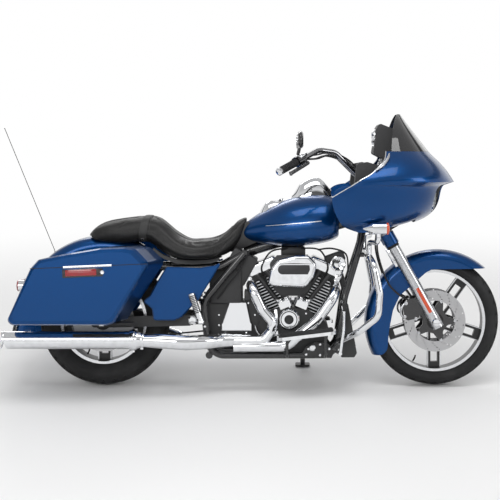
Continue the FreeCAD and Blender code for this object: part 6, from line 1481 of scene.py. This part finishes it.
class CRUISER_OT_saddlebags(bpy.types.Operator):
    """Reflectors, locks, hinge covers and seals of the bags"""

    bl_idname = "cruiser.saddlebags"
    bl_label = "Saddlebags"

    def execute(self, context):
        red, trays, locks, covers, seals = Shape(), Shape(), Shape(), Shape(), Shape()
        tilt = Matrix.Rotation(-math.atan2(0.023, 0.553), 4, "Y")
        for side in SIDES:
            trays.box(at(-0.058, side * 0.4425, 0.5805), (0.19, 0.004, 0.041), tilt, 0.0018)
            red.box(at(-0.066, side * 0.4445, 0.5815), (0.146, 0.0045, 0.03), tilt, 0.0016)
            locks.lathe(at(0.034, side * 0.4435, 0.5835), Y * side,
                        [(0, 0), (0, 0.0095), (0.004, 0.0095), (0.005, 0.0075), (0.0035, 0.003),
                         (0.0035, 0)], 28)
            covers.tube([at(-0.148, side * 0.4455, 0.6066), at(0.078, side * 0.4455, 0.616)], 0.0064, 14, 1)
            seals.box(at(-0.0295, side * 0.4418, 0.6112), (0.55, 0.0018, 0.0032), tilt, 0)
            seals.box(at(0.02, side * 0.345, 0.335), (0.3, 0.08, 0.01), edge=0.003)
        trays.piece("bag_reflector_trays", "gloss_black")
        red.piece("bag_reflectors", "red_lens")
        locks.piece("bag_locks", "chrome")
        covers.piece("bag_hinge_covers", "chrome")
        seals.piece("bag_seals", "rubber")
        return {"FINISHED"}


# The seat

SEAT_SHRINK = 0.004    # how far the form is drawn in before it is blown up
SEAT_PUFF = 0.009      # how far the stuffing may move a point
STUFFING_PRESSURE = 4.0
STUFFING_STIFFNESS = 12.0
STUFFING_FRAMES = 20
UNDERSIDE = -0.35      # normals that point further down than this are held on the pan
SEAT_MID = [(-0.07, 0.74), (0.02, 0.75), (0.16, 0.76), (0.25, 0.74), (0.33, 0.715), (0.4, 0.685),
            (0.5, 0.68), (0.57, 0.7), (0.62, 0.735), (0.67, 0.79), (0.7, 0.81)]


def seat_middle(x):
    """The height at the middle of the seat's section at x."""
    for (back, low), (ahead, high) in zip(SEAT_MID, SEAT_MID[1:]):
        if x <= ahead:
            return low + (high - low) * (x - back) / (ahead - back)
    return SEAT_MID[-1][1]


class Surface:
    """Finds points on a finished piece, in the upright machine's frame."""

    def __init__(self, obj):
        mesh = bmesh.new()
        mesh.from_mesh(obj.data)
        mesh.transform(PARKED.inverted())
        self.tree = BVHTree.FromBMesh(mesh)
        mesh.free()

    def point(self, x, turn, side, lift):
        """The point that a ray from the middle of the section meets, lifted off by lift."""
        ray = at(0.0, math.cos(turn) * side, math.sin(turn))
        hit, normal = self.tree.ray_cast(at(x, 0, seat_middle(x)), ray)[:2]
        return hit + normal * lift if hit else None


def swell(pad, cap):
    """Blows a closed pad up like stuffed leather; no point moves further than cap."""
    start = [v.co.copy() for v in pad.data.vertices]
    held = pad.vertex_groups.new(name="held")
    down = [v.index for v in pad.data.vertices if v.normal.z < UNDERSIDE]
    held.add(down, 1.0, "REPLACE")
    cloth = pad.modifiers.new("stuffing", "CLOTH")
    cloth.settings.quality = 4
    cloth.settings.use_pressure = True
    cloth.settings.uniform_pressure_force = STUFFING_PRESSURE
    cloth.settings.vertex_group_mass = "held"
    cloth.settings.tension_stiffness = STUFFING_STIFFNESS
    cloth.settings.compression_stiffness = STUFFING_STIFFNESS
    cloth.settings.effector_weights.gravity = 0.0
    cloth.collision_settings.use_self_collision = False
    for step in range(STUFFING_FRAMES):
        bpy.context.scene.frame_set(step + 1)
    ready = pad.evaluated_get(bpy.context.evaluated_depsgraph_get())
    puffed = [v.co.copy() for v in ready.data.vertices]
    pad.modifiers.remove(cloth)
    bpy.context.scene.frame_set(1)
    for vertex, old, new in zip(pad.data.vertices, start, puffed):
        move = new - old
        vertex.co = old + move * min(1.0, cap / max(move.length, 1e-9))


class CRUISER_OT_seat(bpy.types.Operator):
    """The two-up seat: leather over foam with a strap, piping, stitches and its moulded pan"""

    bl_idname = "cruiser.seat"
    bl_label = "Seat"

    def execute(self, context):
        sizes = context.scene.cruiser_sizes
        pad = self.pad(sizes.voxel)
        surface = Surface(pad)
        self.strap(surface)
        self.seams(surface, sizes.seam_radius)
        self.pan()
        return {"FINISHED"}

    @staticmethod
    def pad(voxel):
        """The stuffed form, from the seat's solid in the frame."""
        node = frame["nodes"]["seat"]
        data = node.data.copy()
        data.transform(node.matrix_world)
        made = Shape.dressed("seat_pad", data, "leather", 180.0)
        coarse = made.modifiers.new("voxels", "REMESH")
        coarse.mode, coarse.voxel_size, coarse.use_smooth_shade = "VOXEL", voxel, True
        fresh = final_mesh(made)
        made.modifiers.remove(coarse)
        made.data = fresh
        form = bmesh.new()
        form.from_mesh(fresh)
        for _ in range(6):
            bmesh.ops.smooth_vert(form, verts=form.verts, factor=0.5, use_axis_x=True, use_axis_y=True,
                                  use_axis_z=True)
        form.normal_update()
        for vertex in form.verts:
            vertex.co -= vertex.normal * SEAT_SHRINK
        form.to_mesh(fresh)
        form.free()
        swell(made, SEAT_PUFF)
        finer = made.modifiers.new("finer", "SUBSURF")
        finer.levels = finer.render_levels = 1
        last = final_mesh(made)
        made.modifiers.remove(finer)
        made.data = last
        last.materials.clear()
        last.materials.append(FINISHES["leather"].material)
        last.shade_smooth()
        return settle(made, "leather", replaces=("seat",))

    @staticmethod
    def strap(surface):
        """The hand strap over the front of the pillion."""
        band, clips = Shape(), Shape()
        rows = []
        for step in range(41):
            turn = math.radians(-14 + 208 * step / 40)
            middle = 0.196 + 0.026 * max(0.0, math.sin(turn))
            row = []
            for across, lift in ((-0.019, -0.002), (-0.0175, 0.004), (-0.008, 0.005), (0.008, 0.005),
                                 (0.0175, 0.004), (0.019, -0.002)):
                spot = surface.point(middle + across, turn, 1, lift)
                if spot is None:
                    break
                row.append(spot)
            if len(row) == 6:
                rows.append(row)
        band.skin(rows)
        band.piece("seat_strap", "piping", sharp=60.0)
        for side in SIDES:
            spot = surface.point(0.196, math.radians(-9), side, 0.003)
            clips.lathe(spot, Y * side, [(-0.002, 0), (-0.002, 0.009), (0.002, 0.008), (0.003, 0.004),
                                         (0.003, 0)], 20)
        clips.piece("seat_strap_studs", "gloss_black")

    @staticmethod
    def seams(surface, radius):
        """Raised seams along the rider's place and across the pillion, with their stitches."""
        piping, spots, runs = Shape(), [], []
        for side in SIDES:
            runs.append([(x, turn, side) for x, turn in (
                (0.245, 64), (0.27, 50), (0.31, 40), (0.36, 34), (0.42, 30), (0.48, 28), (0.54, 30),
                (0.59, 38), (0.63, 50))])
            runs.append([(x, turn, side) for x, turn in ((0.17, 50), (0.1, 47), (0.03, 45), (-0.03, 42))])
            runs.append([(x, turn, side) for x, turn in (
                (0.26, -24), (0.32, -22), (0.38, -20), (0.44, -20), (0.5, -20), (0.56, -18), (0.6, -12))])
        runs.append([(0.223 + 0.02 * max(0.0, math.sin(math.radians(turn))), turn, 1)
                     for turn in range(-10, 191, 15)])
        for run in runs:
            seam = [surface.point(x, math.radians(turn), side, -0.0006) for x, turn, side in run]
            seam = [spot for spot in seam if spot is not None]
            if len(seam) > 2:
                piping.tube(seam, radius, 10, 6)
        for run in runs[:-1]:
            for offset in (-3.0, 3.0):
                beside = [surface.point(x, math.radians(turn + offset), side, 0.0003)
                          for x, turn, side in run]
                path = smooth_path([spot for spot in beside if spot is not None], 8)
                spots += [((here + there) / 2, there - here) for here, there in zip(path, path[1:])]
        piping.piece("seat_piping", "piping", sharp=80.0)
        stitch = Shape().lathe(Vector(), Z, [(-0.0022, 0), (-0.0018, 0.0005), (0.0018, 0.0005),
                                             (0.0022, 0)], 6)
        on_spots(stitch, "seat_stitches", "thread", spots)

    @staticmethod
    def pan():
        """The moulded skirts under the pad, down to the frame rails, and the cover ahead of it."""
        pan = Shape()
        for side in SIDES:
            skirt = sided(side, (0.242, 0.148, 0.668), (0.3, 0.15, 0.628), (0.36, 0.152, 0.606),
                          (0.44, 0.152, 0.601), (0.53, 0.14, 0.606), (0.575, 0.122, 0.622),
                          (0.565, 0.118, 0.632), (0.52, 0.134, 0.622), (0.44, 0.146, 0.62),
                          (0.36, 0.146, 0.624), (0.3, 0.144, 0.645), (0.25, 0.142, 0.682))
            pan.slab(skirt, -Y * side * 0.02, 0.003)
        half = 0.05
        cover = flat(half, ((0.585, 0.665), (0.64, 0.655), (0.74, 0.7), (0.85, 0.742), (0.86, 0.768),
                            (0.8, 0.785), (0.735, 0.8), (0.69, 0.805), (0.66, 0.775), (0.62, 0.72)))
        pan.slab(cover, Y * (-2 * half), 0.004)
        pan.piece("seat_pan", "satin_black")


# Stage, camera and light

FLOOR_REACH = 40.0
CAMERA_SPOT = (0.181, -7.891, 2.206)
CAMERA_LENS = 116.3
CAMERA_SHIFT = (-0.07, -0.176)


class CRUISER_OT_stage(bpy.types.Operator):
    """Pale floor, soft light and the camera"""

    bl_idname = "cruiser.stage"
    bl_label = "Stage"

    def execute(self, context):
        self.floor()
        self.sky()
        self.lamps()
        self.camera(context)
        context.scene.view_settings.view_transform = "Standard"
        return {"FINISHED"}

    def floor(self):
        """A wide pale floor that turns to plain white far from the machine."""
        rows = [[Vector((x, y, 0.0)) * FLOOR_REACH for x in (-1, 1)] for y in (-1, 1)]
        made = Shape().skin(rows, around=False)
        white = Finish("floor_white", (0.86, 0.86, 0.86), roughness=0.6, specular_ior_level=0.2)
        FINISHES["floor"] = white
        floor = made.object("floor", "floor", parked=False)
        if floor.data.polygons[0].normal.z < 0:
            floor.data.flip_normals()
        ahead, across, _ = white.parts(white.place())
        away = (ahead * ahead + across * across) ** 0.5
        far = white.step(away, 2.0, 4.5)
        ray = white.node("LightPath", out="Is Camera Ray")
        glow = white.node("Emission", None, {"Color": (1, 1, 1), "Strength": 1.0})
        blend = white.node("MixShader", None, {0: far * ray})
        white.tree.links.new(white.shader.outputs[0], blend.socket.node.inputs[1])
        white.tree.links.new(glow.socket, blend.socket.node.inputs[2])
        end = white.tree.nodes["Material Output"]
        white.tree.links.new(blend.socket, end.inputs["Surface"])

    def sky(self):
        """White for the camera, and a studio with bright walls for what reflects it."""
        world = bpy.data.worlds.new("studio")
        bpy.context.scene.world = world
        world.use_nodes = True
        sky = Finish.__new__(Finish)
        sky.tree = world.node_tree
        way = sky.parts(sky.node("TexCoord", out="Generated"))
        up = way[2]
        wall = sky.step(abs(up - 0.36), 0.04, 0.13)
        high = sky.step(up, 0.25, 0.75, 1.0, 0.55)
        seen = sky.node("LightPath", out="Is Camera Ray")
        through = sky.node("LightPath", out="Is Transmission Ray")
        seen = seen + through * (1 - seen)
        shine = sky.node("LightPath", out="Is Glossy Ray")
        studio = (0.12 + wall * 0.88) * high
        soft = 0.62
        level = seen + (1 - seen) * (shine * studio + (1 - shine) * soft)
        back = sky.tree.nodes["Background"]
        back.inputs["Color"].default_value = (1, 1, 1, 1)
        sky.tree.links.new(level.socket, back.inputs["Strength"])

    def lamps(self):
        """Four soft lamps: name, place, aim, width, height and power."""
        lights = (("top", (0.2, -1.4, 4.2), (0.0, 0.0, 0.5), 3.6, 1.6, 62.0),
                  ("side", (-1.5, -5.0, 2.6), (0.0, 0.0, 0.6), 3.0, 1.2, 60.0),
                  ("front", (4.6, -2.2, 2.4), (0.3, 0.0, 0.7), 1.6, 1.6, 34.0),
                  ("back", (-0.5, 4.2, 3.0), (0.0, 0.0, 0.7), 3.2, 1.0, 40.0))
        for name, spot, aim, wide, tall, power in lights:
            lamp = bpy.data.lights.new(name, "AREA")
            lamp.shape = "RECTANGLE"
            lamp.size, lamp.size_y, lamp.energy = wide, tall, power
            holder = bpy.data.objects.new(name, lamp)
            holder.location = spot
            holder.rotation_euler = (Vector(aim) - Vector(spot)).to_track_quat("-Z", "Y").to_euler()
            bpy.context.scene.collection.objects.link(holder)

    def camera(self, context):
        """A long lens from the right side, square to the leaned machine."""
        data = bpy.data.cameras.new("camera")
        data.sensor_fit = "HORIZONTAL"
        data.sensor_width = 36.0
        data.lens = CAMERA_LENS
        data.shift_x, data.shift_y = CAMERA_SHIFT
        holder = bpy.data.objects.new("camera", data)
        holder.location = CAMERA_SPOT
        holder.rotation_euler = (math.pi / 2 - LEAN, 0.0, 0.0)
        context.scene.collection.objects.link(holder)
        context.scene.camera = holder


class CRUISER_PT_panel(bpy.types.Panel):
    """The cruiser's pieces, in the order in which they are made"""

    bl_idname = "CRUISER_PT_panel"
    bl_label = "Touring cruiser"
    bl_space_type = "VIEW_3D"
    bl_region_type = "UI"
    bl_category = "Cruiser"

    def draw(self, context):
        for group in (context.scene.cruiser_colours, context.scene.cruiser_sizes):
            for name in group.__annotations__:
                self.layout.prop(group, name)
        for operator in OPERATORS:
            self.layout.operator(operator.bl_idname)


OPERATORS = (
    CRUISER_OT_stage,
    CRUISER_OT_wheels,
    CRUISER_OT_tyres,
    CRUISER_OT_discs,
    CRUISER_OT_bodywork,
    CRUISER_OT_engine,
    CRUISER_OT_exhaust,
    CRUISER_OT_chassis,
    CRUISER_OT_fork,
    CRUISER_OT_cockpit,
    CRUISER_OT_lamps,
    CRUISER_OT_saddlebags,
    CRUISER_OT_seat,
)
CLASSES = (CruiserColours, CruiserSizes, *OPERATORS, CRUISER_PT_panel)


def register():
    for item in CLASSES:
        bpy.utils.register_class(item)
    bpy.types.Scene.cruiser_colours = PointerProperty(type=CruiserColours)
    bpy.types.Scene.cruiser_sizes = PointerProperty(type=CruiserSizes)


def unregister():
    del bpy.types.Scene.cruiser_sizes
    del bpy.types.Scene.cruiser_colours
    for item in reversed(CLASSES):
        bpy.utils.unregister_class(item)


def main():
    register()
    make_finishes(bpy.context.scene.cruiser_colours)
    more_finishes(bpy.context.scene.cruiser_colours)
    for operator in OPERATORS:
        group, name = operator.bl_idname.split(".")
        getattr(getattr(bpy.ops, group), name)()


if __name__ == "__main__":
    main()
